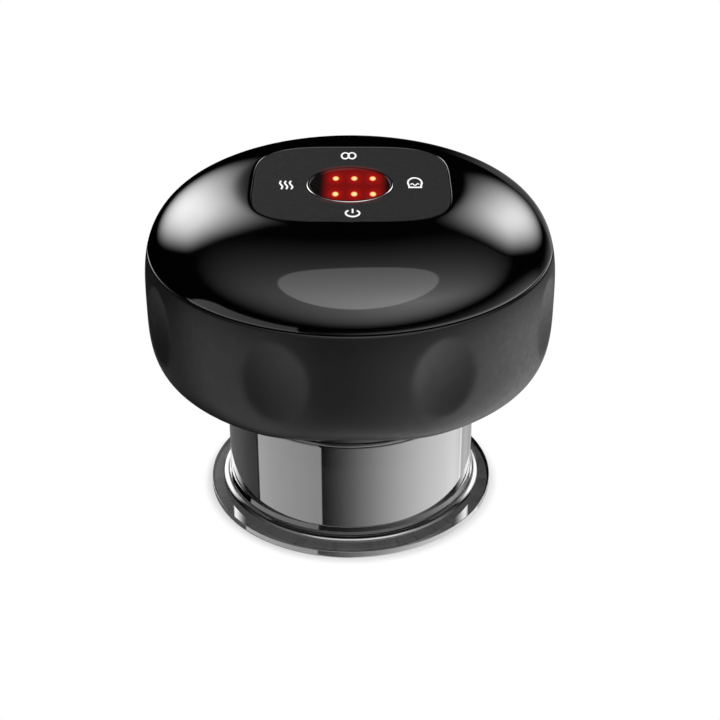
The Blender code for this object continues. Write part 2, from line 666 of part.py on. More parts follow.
def make_heat_plate(look):
    """Shallow metal dish that closes the spigot, with the air hole in its middle."""
    top = SPIGOT_BOTTOM - FIT
    seat = top - HEAT_FILM_THICKNESS - FIT
    under = seat - HEAT_PLATE_THICKNESS
    inner = HEAT_PLATE_RADIUS - HEAT_PLATE_RIM
    outline = [
        (AIR_HOLE_RADIUS, seat),
        (inner, seat),
        (inner, top),
        (HEAT_PLATE_RADIUS - SPIGOT_CHAMFER, top),
        (HEAT_PLATE_RADIUS, top - SPIGOT_CHAMFER),
        (HEAT_PLATE_RADIUS, seat - HEAT_PLATE_THICKNESS / 4),
        (HEAT_PLATE_RADIUS - HEAT_PLATE_BULGE, under - HEAT_PLATE_BULGE / 2),
        (inner - HEAT_PLATE_BULGE, under - HEAT_PLATE_BULGE),
        (AIR_HOLE_RADIUS + HEAT_PLATE_THICKNESS, under - HEAT_PLATE_BULGE),
        (AIR_HOLE_RADIUS, under - HEAT_PLATE_BULGE + HEAT_PLATE_THICKNESS / 2),
    ]
    return solid("heat_plate", turned(outline, HEAD_STEPS), look=look)


def make_heater_film(look):
    """Flat heating ring lying in the heat plate."""
    high = SPIGOT_BOTTOM - FIT
    low = high - HEAT_FILM_THICKNESS
    outer = HEAT_PLATE_RADIUS - HEAT_PLATE_RIM - FIT
    outline = [(AIR_HOLE_RADIUS, low), (outer, low), (outer, high), (AIR_HOLE_RADIUS, high)]
    return solid("heater_film", turned(outline, DRUM_STEPS), look=look)


def make_heat_sensor(look):
    """Bead in a hole of the head's floor, on the heater film."""
    low = SPIGOT_BOTTOM
    mesh = rod(SENSOR_RADIUS, low, low + SENSOR_HEIGHT, SMALL_STEPS)
    return solid("heat_sensor", mesh, (SENSOR_REACH, 0.0, 0.0), look=look)


def make_intake_filter(look):
    """Disc of foam over the air nipple."""
    low = SPIGOT_BOTTOM
    return solid("intake_filter", rod(FILTER_RADIUS, low, low + FILTER_THICKNESS, SMALL_STEPS), look=look)


def make_grip_housing(look):
    """Lower shell with its finger dimples, rim ledge, floor, neck opening and port slot."""
    rings = []
    levels = [UNDERSIDE + LOWER_RISE * share for share in LOWER_ROW_SHARES]
    levels += [WIDEST + (RIM_TOP - WIDEST) * share for share in UPPER_ROW_SHARES]
    for level in levels:
        rings.append([])
        for step in range(GRIP_STEPS):
            angle = math.tau * step / GRIP_STEPS
            radius = dome_radius(level) - dimple_depth(angle, level)
            rings[-1].append((radius * math.cos(angle), radius * math.sin(angle), level))
    rim = dome_radius(RIM_TOP)
    corner_radius = GRIP_INNER_RADIUS - UNDERSIDE_RADIUS
    corner_rise = LOWER_RISE - GRIP_FLOOR
    plain = [
        (rim, RIM_TOP - SEAM_CHAMFER),
        (rim - SEAM_CHAMFER, RIM_TOP),
        (rim - RIM_LAND, RIM_TOP),
        (rim - RIM_LAND, RIM_TOP - RIM_LEDGE),
        (GRIP_INNER_RADIUS, RIM_TOP - RIM_LEDGE),
    ]
    for share in INNER_CORNER_SHARES:
        angle = share * math.pi / 2
        plain.append((UNDERSIDE_RADIUS + corner_radius * math.cos(angle) ** (2 / LOWER_POWER),
                      WIDEST - corner_rise * math.sin(angle) ** (2 / LOWER_POWER)))
    plain += [(NECK_RADIUS + FIT, FLOOR_TOP), (NECK_RADIUS + FIT, UNDERSIDE)]
    for place, (radius, level) in enumerate(plain):
        rings.append(circle(radius, level, GRIP_STEPS if place < 2 else GRIP_STEPS // 2))
    body = solid("grip_housing", loft(rings, loop=True), look=look)
    slot = slab(PORT_WIDTH / 2 + FIT, PORT_HEIGHT / 2 + FIT, PORT_HEIGHT / 2, -OVERRUN, GRIP_WALL + OVERRUN)
    place = (0.0, BODY_RADIUS, PORT_Z)
    combine(body, solid("port_slot", slot, place, (math.pi / 2, 0.0, 0.0)))
    drills = rods(screw_places(HEAD_SCREW_REACH), SCREW_RADIUS + FIT, FLOOR_TOP - SCREW_GRIP - FIT,
                  FLOOR_TOP + OVERRUN, SMALL_STEPS)
    combine(body, solid("floor_pilots", drills))
    return body


def make_seam_gasket(look):
    """Soft ring on the grip's ledge, behind the reveal."""
    outer = dome_radius(RIM_TOP) - RIM_LAND - FIT
    low, high = RIM_TOP - RIM_LEDGE + FIT, COVER_BOTTOM - FIT
    inner = GRIP_INNER_RADIUS
    outline = [(inner, low), (outer, low), (outer, high), (inner, high)]
    return solid("seam_gasket", turned(outline, HEAD_STEPS), look=look)


def make_top_cover(look):
    """Upper shell: dome, keypad pocket with its holes, locating lip and board bosses."""
    dome = dome_outline(BODY_RADIUS, DOME_RISE, COVER_BOTTOM + SEAM_CHAMFER, CROWN, DOME_ROWS)
    inner_radius, inner_rise = BODY_RADIUS - COVER_WALL, DOME_RISE - COVER_WALL
    start = WIDEST + inner_rise * (1 - (LIP_INNER_RADIUS / inner_radius) ** DOME_POWER) ** (1 / DOME_POWER)
    inside = dome_outline(inner_radius, inner_rise, start, CEILING, CEILING_ROWS)
    lip_bottom = RIM_TOP - LIP_DEPTH
    outline = [(0.0, CROWN), *dome[::-1]]
    outline += [
        (dome[0][0] - SEAM_CHAMFER, COVER_BOTTOM),
        (LIP_OUTER_RADIUS, COVER_BOTTOM),
        (LIP_OUTER_RADIUS, lip_bottom),
        (LIP_INNER_RADIUS, lip_bottom),
        *inside,
        (0.0, CEILING),
    ]
    fine = len(dome) + 2
    body = solid("top_cover", turned(outline, SHELL_STEPS, loop=False, fine=fine), look=look)
    bosses = rods(screw_places(BOARD_BOSS_REACH), BOARD_BOSS_RADIUS, BOARD_TOP + FIT,
                  CEILING + POCKET_FLOOR / 2, SMALL_STEPS)
    combine(body, solid("board_bosses", bosses), "UNION")
    pocket = loft([keypad_ring(-FIT, level) for level in (POCKET_TOP, CROWN + OVERRUN)])
    combine(body, solid("keypad_pocket", pocket))
    holes = rods(KEY_PLACES.values(), KEY_POST_RADIUS + FIT, CEILING - OVERRUN, POCKET_TOP + MERGE,
                 SMALL_STEPS)
    rod(WINDOW_HOLE_RADIUS, CEILING - OVERRUN, POCKET_TOP + MERGE, DRUM_STEPS, mesh=holes)
    combine(body, solid("pocket_holes", holes))
    pilots = rods(screw_places(BOARD_BOSS_REACH), SCREW_RADIUS + FIT, BOARD_TOP - OVERRUN,
                  CEILING, SMALL_STEPS)
    combine(body, solid("boss_pilots", pilots))
    return body


def make_keypad(look):
    """Soft panel in the pocket, with openings for the bezel and the four keys."""
    low = POCKET_TOP + FIT
    body = solid("keypad", loft([keypad_ring(0.0, low), keypad_ring(0.0, CROWN - KEYPAD_EDGE),
                                 keypad_ring(KEYPAD_EDGE, CROWN)]), look=look)
    holes = rods(KEY_PLACES.values(), KEY_RADIUS + FIT, low - OVERRUN, CROWN + OVERRUN, KEY_STEPS)
    rod(BEZEL_OUTER_RADIUS + FIT, low - OVERRUN, CROWN + OVERRUN, RING_STEPS, mesh=holes)
    combine(body, solid("keypad_holes", holes))
    return body


def make_key(name, centre, look):
    """Key cap and the post that reaches its switch, with the origin on the line of travel."""
    cap_bottom = POCKET_TOP + FIT + KEY_TRAVEL - CROWN
    post_bottom = BOARD_TOP + FIT + SWITCH_HEIGHT + STEM_RISE + FIT - CROWN
    outline = [
        (0.0, 0.0),
        (KEY_RADIUS - KEY_EDGE, 0.0),
        (KEY_RADIUS, -KEY_EDGE),
        (KEY_RADIUS, cap_bottom),
        (KEY_POST_RADIUS, cap_bottom),
        (KEY_POST_RADIUS, post_bottom),
        (0.0, post_bottom),
    ]
    rings = [circle(radius, height, KEY_STEPS, turn=ROD_TURN_SHARE) for radius, height in outline]
    return solid("key_" + name, loft(rings), (*centre, CROWN), look=look)


def make_switch(name, centre, body_look, stem_look):
    """Push switch on the board, and the stem that its key pushes down."""
    half = SWITCH_SIZE / 2
    low = BOARD_TOP + FIT
    high = low + SWITCH_HEIGHT
    well = STEM_ENTRY + KEY_TRAVEL + FIT
    rings = [rounded(half, half, 0.0, low), rounded(half, half, 0.0, high)]
    case = solid("switch_" + name, loft(rings), (*centre, 0.0), look=body_look)
    bore = rod(STEM_RADIUS + FIT, high - well, high + OVERRUN, SMALL_STEPS)
    combine(case, solid("switch_bore_" + name, bore, (*centre, 0.0)))
    stem = rod(STEM_RADIUS, high - STEM_ENTRY, high + STEM_RISE, SMALL_STEPS)
    solid("switch_stem_" + name, stem, (*centre, 0.0), look=stem_look)


def make_display(window_look, bezel_look, guide_look, led_look):
    """Window in its thin ring, the block of light wells under it, and the lamps in the wells."""
    low = POCKET_TOP + FIT
    outline = [
        (BEZEL_INNER_RADIUS, low),
        (BEZEL_OUTER_RADIUS, low),
        (BEZEL_OUTER_RADIUS, CROWN - BEZEL_EDGE),
        (BEZEL_OUTER_RADIUS - BEZEL_EDGE, CROWN),
        (BEZEL_INNER_RADIUS + BEZEL_EDGE, CROWN),
        (BEZEL_INNER_RADIUS, CROWN - BEZEL_EDGE),
    ]
    solid("display_bezel", turned(outline, RING_STEPS), look=bezel_look)
    rings = [circle(radius, level, RING_STEPS) for radius, level in (
        (WINDOW_RADIUS, low), (WINDOW_RADIUS, low + WINDOW_THICKNESS - BEZEL_EDGE),
        (WINDOW_RADIUS - BEZEL_EDGE, low + WINDOW_THICKNESS))]
    solid("display_window", loft(rings), look=window_look)
    guide_low, guide_high = BOARD_TOP + FIT, POCKET_TOP
    guide = solid("light_guide", rod(GUIDE_RADIUS, guide_low, guide_high, DRUM_STEPS), look=guide_look)
    places = [(LED_SPACING_X * column, LED_SPACING_Y * row / 2) for row in (1, -1) for column in (-1, 0, 1)]
    wells = rods(places, LED_WELL_RADIUS, guide_low - OVERRUN, guide_high + OVERRUN, SMALL_STEPS)
    combine(guide, solid("light_wells", wells))
    for number, (x, y) in enumerate(places, 1):
        mesh = slab(LED_LENGTH / 2, LED_WIDTH / 2, 0.0, guide_low, guide_low + LED_HEIGHT)
        solid(f"display_led_{number}", mesh, (x, y, 0.0), look=led_look)


def make_main_board(board_look, chip_look):
    """Round board hanging on the cover's bosses, with its control chip beneath."""
    board = solid("main_board", rod(BOARD_RADIUS, BOARD_BOTTOM, BOARD_TOP, HEAD_STEPS), look=board_look)
    drills = rods(screw_places(BOARD_BOSS_REACH), SCREW_RADIUS + FIT, BOARD_BOTTOM - OVERRUN,
                  BOARD_TOP + OVERRUN, SMALL_STEPS)
    combine(board, solid("board_drills", drills))
    high = BOARD_BOTTOM - FIT
    chip = slab(CHIP_SIZE / 2, CHIP_SIZE / 2, CHIP_CORNER, high - CHIP_HEIGHT, high)
    solid("controller_chip", chip, (-CHIP_REACH, CHIP_REACH, 0.0), look=chip_look)


def make_screw(name, centre, seat, length, up, look):
    """Pan-head screw whose head stands on a seat, and whose shank runs up or down from it."""
    head = -SCREW_HEAD_HEIGHT * up
    dip = head + SCREW_DRIVE_DEPTH * up
    outline = [
        (0.0, dip),
        (SCREW_DRIVE_RADIUS, dip),
        (SCREW_DRIVE_RADIUS, head),
        (SCREW_HEAD_RADIUS - SCREW_RADIUS / 2, head),
        (SCREW_HEAD_RADIUS, head / 2),
        (SCREW_HEAD_RADIUS, 0.0),
        (SCREW_RADIUS, 0.0),
        (SCREW_RADIUS, length * up),
        (0.0, length * up),
    ]
    rings = [circle(radius, height, SMALL_STEPS) for radius, height in outline]
    return solid(name, loft(rings), (*centre, seat), look=look)


def make_screws(look):
    """Three screws through frame and head into the grip, and three through the board into the cover."""
    head_length = FRAME_TOP + FIT - (FLOOR_TOP - SCREW_GRIP)
    for number, centre in enumerate(screw_places(HEAD_SCREW_REACH), 1):
        make_screw(f"head_screw_{number}", centre, FRAME_TOP + FIT, head_length, -1, look)
    board_length = BOARD_THICKNESS + FIT + BOARD_GAP - FIT
    for number, centre in enumerate(screw_places(BOARD_BOSS_REACH), 1):
        make_screw(f"board_screw_{number}", centre, BOARD_BOTTOM - FIT, board_length, 1, look)


def cradle(radius, half, floor_level, axis_level, thickness):
    """Upright rib with a round seat in its top, standing across X."""
    top = floor_level + CRADLE_HEIGHT
    drop = math.acos(min((axis_level - top) / radius, 1.0))
    arc = [drop * (1 - step / ARC_STEPS) for step in range(2 * ARC_STEPS + 1)]
    side = [(-half, floor_level - MERGE), (half, floor_level - MERGE), (half, top)]
    side += [(radius * math.sin(a), axis_level - radius * math.cos(a)) for a in arc]
    side.append((-half, top))
    return loft([[(x, y, z) for y, z in side] for x in (-thickness / 2, thickness / 2)])


def make_inner_frame(look):
    """Tray on the head's flange, with cradles for the motor and cell, the valve's fence and a shelf."""
    outline = [(FRAME_HOLE_RADIUS, FRAME_BOTTOM), (HEAD_FLANGE_RADIUS, FRAME_BOTTOM),
               (HEAD_FLANGE_RADIUS, FRAME_TOP), (FRAME_HOLE_RADIUS, FRAME_TOP)]
    body = solid("inner_frame", turned(outline, HEAD_STEPS), look=look)
    motor_seat, cell_seat = MOTOR_RADIUS + FIT, CELL_RADIUS + FIT
    spots = [("cell_cradle", x, CELL_Y, cell_seat, CELL_Z) for x in (-CELL_CRADLE_REACH, CELL_CRADLE_REACH)]
    spots += [("motor_cradle", x, PUMP_Y, motor_seat, PUMP_Z)
              for x in (MOTOR_START + MOTOR_CRADLE_INSET, MOTOR_END - MOTOR_CRADLE_INSET)]
    for number, (name, x, y, seat, level) in enumerate(spots):
        depth = level - FRAME_TOP - CRADLE_HEIGHT
        half = math.sqrt(seat ** 2 - depth ** 2) + CRADLE_WALL
        rib = cradle(seat, half, FRAME_TOP, level, CRADLE_THICKNESS)
        combine(body, solid(f"{name}_{number}", rib, (x, y, 0.0)), "UNION")
    half_x, half_y = VALVE_LENGTH / 2 + FIT, VALVE_DEPTH / 2 + FIT
    low, high = FRAME_TOP - MERGE, FRAME_TOP + FENCE_HEIGHT
    fence = loft([rounded(half_x + FENCE_WALL, half_y + FENCE_WALL, VALVE_CORNER, low),
                  rounded(half_x + FENCE_WALL, half_y + FENCE_WALL, VALVE_CORNER, high),
                  rounded(half_x, half_y, VALVE_CORNER, high),
                  rounded(half_x, half_y, VALVE_CORNER, low)], loop=True)
    combine(body, solid("valve_fence", fence, (VALVE_REACH, 0.0, 0.0)), "UNION")
    far = math.sqrt(HEAD_FLANGE_RADIUS ** 2 - (CHARGE_BOARD_WIDTH / 2) ** 2) - SHELF_INSET
    shelf = slab(CHARGE_BOARD_WIDTH / 2, SHELF_LENGTH / 2, CHARGE_BOARD_CORNER, low, FRAME_TOP + SHELF_RISE)
    combine(body, solid("port_shelf", shelf, (0.0, far - SHELF_LENGTH / 2, 0.0)), "UNION")
    drills = rods(screw_places(HEAD_SCREW_REACH), SCREW_RADIUS + FIT, FRAME_BOTTOM - OVERRUN,
                  FRAME_TOP + OVERRUN, SMALL_STEPS)
    combine(body, solid("frame_drills", drills))
    return body


def make_cell(look):
    """Round lithium cell lying along X."""
    half = CELL_LENGTH / 2
    outline = [
        (0.0, -half),
        (CELL_RADIUS - CELL_ROUNDING, -half),
        (CELL_RADIUS, CELL_ROUNDING - half),
        (CELL_RADIUS, half - CELL_TERMINAL_RISE - CELL_ROUNDING),
        (CELL_RADIUS - CELL_ROUNDING, half - CELL_TERMINAL_RISE),
        (CELL_TERMINAL_RADIUS, half - CELL_TERMINAL_RISE),
        (CELL_TERMINAL_RADIUS, half),
        (0.0, half),
    ]
    rings = [circle(radius, height, DRUM_STEPS) for radius, height in outline]
    return solid("battery_cell", loft(rings), (0.0, CELL_Y, CELL_Z), (0.0, math.pi / 2, 0.0), look)


def along_x(name, mesh, start, look, turn=0.0):
    """Stand a piece that was made up Z along X instead, on the pump's axis."""
    return solid(name, mesh, (start, PUMP_Y, PUMP_Z), (turn, math.pi / 2, 0.0), look)


def make_pump(steel, brass, casing, rubber):
    """Motor, shaft, eccentric, chamber block, diaphragm and valve cap, in line along X."""
    bore = SHAFT_RADIUS + FIT
    outline = [
        (0.0, 0.0),
        (MOTOR_RADIUS - MOTOR_ROUNDING, 0.0),
        (MOTOR_RADIUS, MOTOR_ROUNDING),
        (MOTOR_RADIUS, MOTOR_LENGTH),
        (MOTOR_BOSS_RADIUS, MOTOR_LENGTH),
        (MOTOR_BOSS_RADIUS, MOTOR_LENGTH + MOTOR_BOSS_RISE),
        (bore, MOTOR_LENGTH + MOTOR_BOSS_RISE),
        (bore, MOTOR_LENGTH - MOTOR_BORE_DEPTH),
        (0.0, MOTOR_LENGTH - MOTOR_BORE_DEPTH),
    ]
    rings = [circle(radius, height, DRUM_STEPS if radius > bore else DRUM_STEPS // 2)
             for radius, height in outline]
    along_x("pump_motor", loft(rings), MOTOR_START, steel)

    shaft_start = MOTOR_END - MOTOR_BORE_DEPTH + FIT
    shaft_end = PUMP_HEAD_START + SHAFT_REACH
    along_x("pump_shaft", rod(SHAFT_RADIUS, 0.0, shaft_end - shaft_start, SMALL_STEPS), shaft_start, steel)

    cam_start = PUMP_HEAD_START + HEAD_END_WALL + CAM_GAP
    cam = loft([circle(CAM_RADIUS, 0.0, DRUM_STEPS, (CAM_OFFSET, 0.0)),
                circle(CAM_RADIUS, CAM_THICKNESS, DRUM_STEPS, (CAM_OFFSET, 0.0)),
                circle(bore, CAM_THICKNESS, DRUM_STEPS // 2),
                circle(bore, 0.0, DRUM_STEPS // 2)], loop=True)
    along_x("pump_eccentric", cam, cam_start, brass)

    half = HEAD_SIZE / 2
    block = along_x("pump_head", slab(half, half, HEAD_CORNER, 0.0, HEAD_LENGTH), PUMP_HEAD_START, casing)
    chamber = rod(half - CHAMBER_WALL, HEAD_END_WALL, HEAD_LENGTH + OVERRUN, DRUM_STEPS)
    combine(block, along_x("pump_chamber", chamber, PUMP_HEAD_START, None))
    opening = rod(MOTOR_BOSS_RADIUS + FIT, -OVERRUN, HEAD_END_WALL + MERGE, SMALL_STEPS)
    combine(block, along_x("pump_boss_hole", opening, PUMP_HEAD_START, None))

    reach = shaft_end + SHAFT_GAP - DIAPHRAGM_START
    disc = along_x("pump_diaphragm", slab(half, half, HEAD_CORNER, 0.0, DIAPHRAGM_THICKNESS),
                   DIAPHRAGM_START, rubber)
    boss = rod(DIAPHRAGM_BOSS_RADIUS, reach, MERGE, SMALL_STEPS)
    combine(disc, along_x("diaphragm_boss", boss, DIAPHRAGM_START, None), "UNION")

    cap = along_x("pump_cap", slab(half, half, HEAD_CORNER, 0.0, CAP_LENGTH, CAP_EDGE), CAP_START, casing)
    nozzle = rod(NIPPLE_RADIUS, -MERGE, NOZZLE_LENGTH, SMALL_STEPS)
    place = (NOZZLE_X, NOZZLE_Y, NOZZLE_Z)
    combine(cap, solid("inlet_nozzle", nozzle, place, (-math.pi / 2, 0.0, 0.0)), "UNION")
    outlet = rod(NIPPLE_RADIUS, CAP_LENGTH - MERGE, CAP_LENGTH + NOZZLE_LENGTH / 2, SMALL_STEPS)
    combine(cap, along_x("outlet_nozzle", outlet, CAP_START, None), "UNION")


def make_valve(casing, steel):
    """Coil block with its side nozzle, plunger and return spring."""
    half_x, half_y = VALVE_LENGTH / 2, VALVE_DEPTH / 2
    block = solid("valve_body", slab(half_x, half_y, VALVE_CORNER, VALVE_BOTTOM, VALVE_TOP),
                  (VALVE_REACH, 0.0, 0.0), look=casing)
    bore = rod(PLUNGER_RADIUS + FIT, VALVE_TOP - PLUNGER_ENTRY - PLUNGER_TRAVEL - FIT, VALVE_TOP + OVERRUN,
               SMALL_STEPS)
    combine(block, solid("valve_bore", bore, (VALVE_REACH, 0.0, 0.0)))
    nozzle = rod(NIPPLE_RADIUS, -MERGE, VALVE_NOZZLE_LENGTH, SMALL_STEPS)
    place = (VALVE_REACH - half_x, 0.0, TEE_LEVEL)
    combine(block, solid("valve_nozzle", nozzle, place, (0.0, -math.pi / 2, 0.0)), "UNION")

    outline = [
        (0.0, VALVE_TOP - PLUNGER_ENTRY),
        (PLUNGER_RADIUS, VALVE_TOP - PLUNGER_ENTRY),
        (PLUNGER_RADIUS, PLUNGER_HEAD_BOTTOM),
        (PLUNGER_HEAD_RADIUS, PLUNGER_HEAD_BOTTOM),
        (PLUNGER_HEAD_RADIUS, PLUNGER_TOP),
        (0.0, PLUNGER_TOP),
    ]
    rings = [circle(radius, height, SMALL_STEPS) for radius, height in outline]
    solid("valve_plunger", loft(rings), (VALVE_REACH, 0.0, 0.0), look=steel)

    coil = (PLUNGER_RADIUS + PLUNGER_HEAD_RADIUS) / 2 + SPRING_WIRE
    path = []
    for step in range(SPRING_TURNS * SPRING_TURN_POINTS + 1):
        angle = math.tau * step / SPRING_TURN_POINTS
        rise = SPRING_HEIGHT * step / (SPRING_TURNS * SPRING_TURN_POINTS)
        path.append(Vector((coil * math.cos(angle), coil * math.sin(angle), rise)))
    solid("valve_spring", tube(path, SPRING_WIRE, SPRING_SIDES), (VALVE_REACH, 0.0, SPRING_BOTTOM),
          look=steel)


def make_air_lines(casing, rubber):
    """Tee over the head's nipple, and the hoses from it to the head, the valve and the pump."""
    half = TEE_SIZE / 2
    tee = solid("air_tee", slab(half, half, TEE_CORNER, -half, half), (0.0, 0.0, TEE_LEVEL), look=casing)
    upright = rod(NIPPLE_RADIUS, -half - HOSE_OVERLAP - FIT, half + HOSE_OVERLAP + FIT, SMALL_STEPS)
    combine(tee, solid("tee_upright", upright, (0.0, 0.0, TEE_LEVEL)), "UNION")
    branch = rod(NIPPLE_RADIUS, 0.0, half + HOSE_OVERLAP + FIT, SMALL_STEPS)
    combine(tee, solid("tee_branch", branch, (0.0, 0.0, TEE_LEVEL), (0.0, math.pi / 2, 0.0)), "UNION")

    low, high = HEAD_FLOOR_TOP + FIT, TEE_LEVEL - half - FIT
    intake = [Vector((0.0, 0.0, low)), Vector((0.0, 0.0, high))]
    solid("intake_hose", tube(intake, HOSE_RADIUS, HOSE_SIDES, HOSE_BORE), look=rubber)

    near, far = half + FIT, VALVE_REACH - VALVE_LENGTH / 2 - FIT
    side = [Vector((near, 0.0, TEE_LEVEL)), Vector((far, 0.0, TEE_LEVEL))]
    solid("valve_hose", tube(side, HOSE_RADIUS, HOSE_SIDES, HOSE_BORE), look=rubber)

    tee_top = TEE_LEVEL + half + FIT
    turn_y = NOZZLE_Y + HOSE_OVERLAP
    long = HOSE_BEND * math.sin(math.pi / 4)
    short = HOSE_BEND - long
    corners = [
        (NOZZLE_X, NOZZLE_Y + FIT, NOZZLE_Z),
        (NOZZLE_X, turn_y, NOZZLE_Z),
        (NOZZLE_X - short, turn_y + long, NOZZLE_Z),
        (NOZZLE_X - HOSE_BEND, turn_y + HOSE_BEND, NOZZLE_Z),
        (HOSE_BEND, (turn_y + HOSE_BEND) * HOSE_DRIFT_SHARE, NOZZLE_Z),
        (short, 0.0, NOZZLE_Z - short),
        (0.0, 0.0, NOZZLE_Z - HOSE_BEND),
        (0.0, 0.0, tee_top),
    ]
    path = smooth_path(corners, LEAD_STEPS)
    solid("pump_hose", tube(path, HOSE_RADIUS, HOSE_SIDES, HOSE_BORE), look=rubber)


def make_port(steel, board_look):
    """Charging socket in the back wall, and the small board that carries it."""
    place, turn = (0.0, PORT_MOUTH, PORT_Z), (math.pi / 2, 0.0, 0.0)
    case = slab(PORT_WIDTH / 2, PORT_HEIGHT / 2, PORT_HEIGHT / 2 - PORT_WALL / 2, 0.0, PORT_LENGTH)
    shell = solid("charge_port", case, place, turn, steel)
    hollow = slab(PORT_WIDTH / 2 - PORT_WALL, PORT_HEIGHT / 2 - PORT_WALL,
                  PORT_HEIGHT / 2 - PORT_WALL * 1.5, -OVERRUN, PORT_DEPTH)
    combine(shell, solid("port_hollow", hollow, place, turn))
    tongue = slab(TONGUE_WIDTH / 2, TONGUE_THICKNESS / 2, TONGUE_THICKNESS / 4, PORT_DEPTH - TONGUE_LENGTH,
                  PORT_DEPTH + MERGE)
    combine(shell, solid("port_tongue", tongue, place, turn), "UNION")
    half_x, half_y = CHARGE_BOARD_WIDTH / 2, CHARGE_BOARD_LENGTH / 2
    board = slab(half_x, half_y, CHARGE_BOARD_CORNER, CHARGE_BOARD_BOTTOM, CHARGE_BOARD_TOP)
    solid("charge_board", board, (0.0, CHARGE_BOARD_END - half_y, 0.0), look=board_look)


def make_leads(red, white, yellow):
    """Leads from the cell, the motor and the heater up to the main board."""
    top = BOARD_BOTTOM - FIT
    end = CELL_LENGTH / 2 + FIT
    cell_lead = [
        (end, CELL_Y, CELL_Z),
        (end + LEAD_REACH / 2, CELL_Y, CELL_Z),
        (end + LEAD_REACH, CELL_Y, CELL_Z + LEAD_REACH),
        (end + LEAD_REACH / 2, CELL_Y, CELL_Z + CELL_RADIUS),
        (end - LEAD_REACH, CELL_Y - 2 * LEAD_REACH, top - LEAD_REACH),
        (end - LEAD_REACH, CELL_Y - 2 * LEAD_REACH, top - LEAD_REACH / 2),
        (end - LEAD_REACH, CELL_Y - 2 * LEAD_REACH, top),
    ]
    start = MOTOR_START - FIT
    motor_lead = [
        (start, PUMP_Y, PUMP_Z),
        (start - LEAD_REACH / 2, PUMP_Y, PUMP_Z),
        (start - LEAD_REACH, PUMP_Y + MOTOR_RADIUS / 2, PUMP_Z + LEAD_REACH),
        (start - LEAD_REACH / 2, PUMP_Y + MOTOR_RADIUS, PUMP_Z + MOTOR_RADIUS / 2),
        (start + LEAD_REACH, PUMP_Y + MOTOR_RADIUS, top - LEAD_REACH),
        (start + LEAD_REACH, PUMP_Y + MOTOR_RADIUS, top - LEAD_REACH / 2),
        (start + LEAD_REACH, PUMP_Y + MOTOR_RADIUS, top),
    ]
    bend = (HEAD_FLOOR_TOP + FRAME_BOTTOM) / 2
    heater_lead = [
        (-HEATER_LEAD_REACH, 0.0, SPIGOT_BOTTOM),
        (-HEATER_LEAD_REACH, 0.0, HEAD_FLOOR_TOP),
        (-HEATER_LEAD_REACH, 0.0, HEAD_FLOOR_TOP + LEAD_REACH),
        (-HEATER_LEAD_RISE_REACH, 0.0, bend + LEAD_REACH),
        (-HEATER_LEAD_RISE_REACH, 0.0, FRAME_TOP),
        (-HEATER_LEAD_RISE_REACH - LEAD_REACH, 0.0, TEE_LEVEL),
        (-HEATER_LEAD_RISE_REACH - LEAD_REACH, 0.0, top - LEAD_REACH),
        (-HEATER_LEAD_RISE_REACH - LEAD_REACH, 0.0, top),
    ]
    routes = (("battery_lead", cell_lead, red), ("pump_lead", motor_lead, white),
              ("heater_lead", heater_lead, yellow))
    for name, corners, look in routes:
        solid(name, tube(smooth_path(corners, LEAD_STEPS), LEAD_RADIUS, LEAD_SIDES), look=look)


def build():
    """Make every piece of the massager."""
    clear_scene()
    gloss = finish("gloss_black", (0.012, 0.012, 0.013), 0.08)
    matt = finish("matt_charcoal", (0.035, 0.035, 0.036), 0.55)
    soft = finish("soft_panel", (0.04, 0.04, 0.041), 0.6)
    smoke = finish("smoke_clear", (0.16, 0.16, 0.16), 0.06, alpha=0.6)
    window = finish("window_smoke", (0.02, 0.006, 0.006), 0.08)
    bright = finish("bright_ring", (0.8, 0.8, 0.8), 0.15, 1.0)
    rubber = finish("seal_rubber", (0.03, 0.03, 0.03), 0.7)
    hose = finish("hose_silicone", (0.75, 0.75, 0.72), 0.5)
    frame = finish("frame_plastic", (0.5, 0.5, 0.48), 0.6)
    board = finish("board_green", (0.02, 0.16, 0.07), 0.45)
    chip = finish("chip_black", (0.02, 0.02, 0.02), 0.5)
    led = finish("led_red", (0.9, 0.05, 0.02), 0.3)
    steel = finish("steel", (0.6, 0.6, 0.6), 0.3, 1.0)
    brass = finish("brass", (0.8, 0.6, 0.25), 0.3, 1.0)
    wrap = finish("cell_wrap", (0.05, 0.18, 0.45), 0.4)
    foam = finish("filter_foam", (0.3, 0.3, 0.3), 0.95)
    amber = finish("heater_amber", (0.65, 0.35, 0.08), 0.4)
    red = finish("lead_red", (0.6, 0.03, 0.03), 0.5)
    white = finish("lead_white", (0.8, 0.8, 0.8), 0.5)

    make_cup(smoke)
    make_cup_seal(rubber)
    make_head_base(matt)
    make_heat_plate(steel)
    make_heater_film(amber)
    make_heat_sensor(chip)
    make_intake_filter(foam)
    make_grip_housing(matt)
    make_seam_gasket(rubber)
    make_top_cover(gloss)
    make_keypad(soft)
    for name, centre in KEY_PLACES.items():
        make_key(name, centre, soft)
        make_switch(name, centre, chip, steel)
    make_display(window, bright, frame, led)
    make_main_board(board, chip)
    make_screws(steel)
    make_inner_frame(frame)
    make_cell(wrap)
    make_pump(steel, brass, frame, rubber)
    make_valve(chip, steel)
    make_air_lines(frame, hose)
    make_port(steel, board)
    make_leads(red, white, amber)


build()
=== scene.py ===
"""Dressed scene of the cupping massager: fine skins, materials, lights, floor and camera."""

import json
import math

import bmesh
import bpy
from mathutils import Matrix, Vector


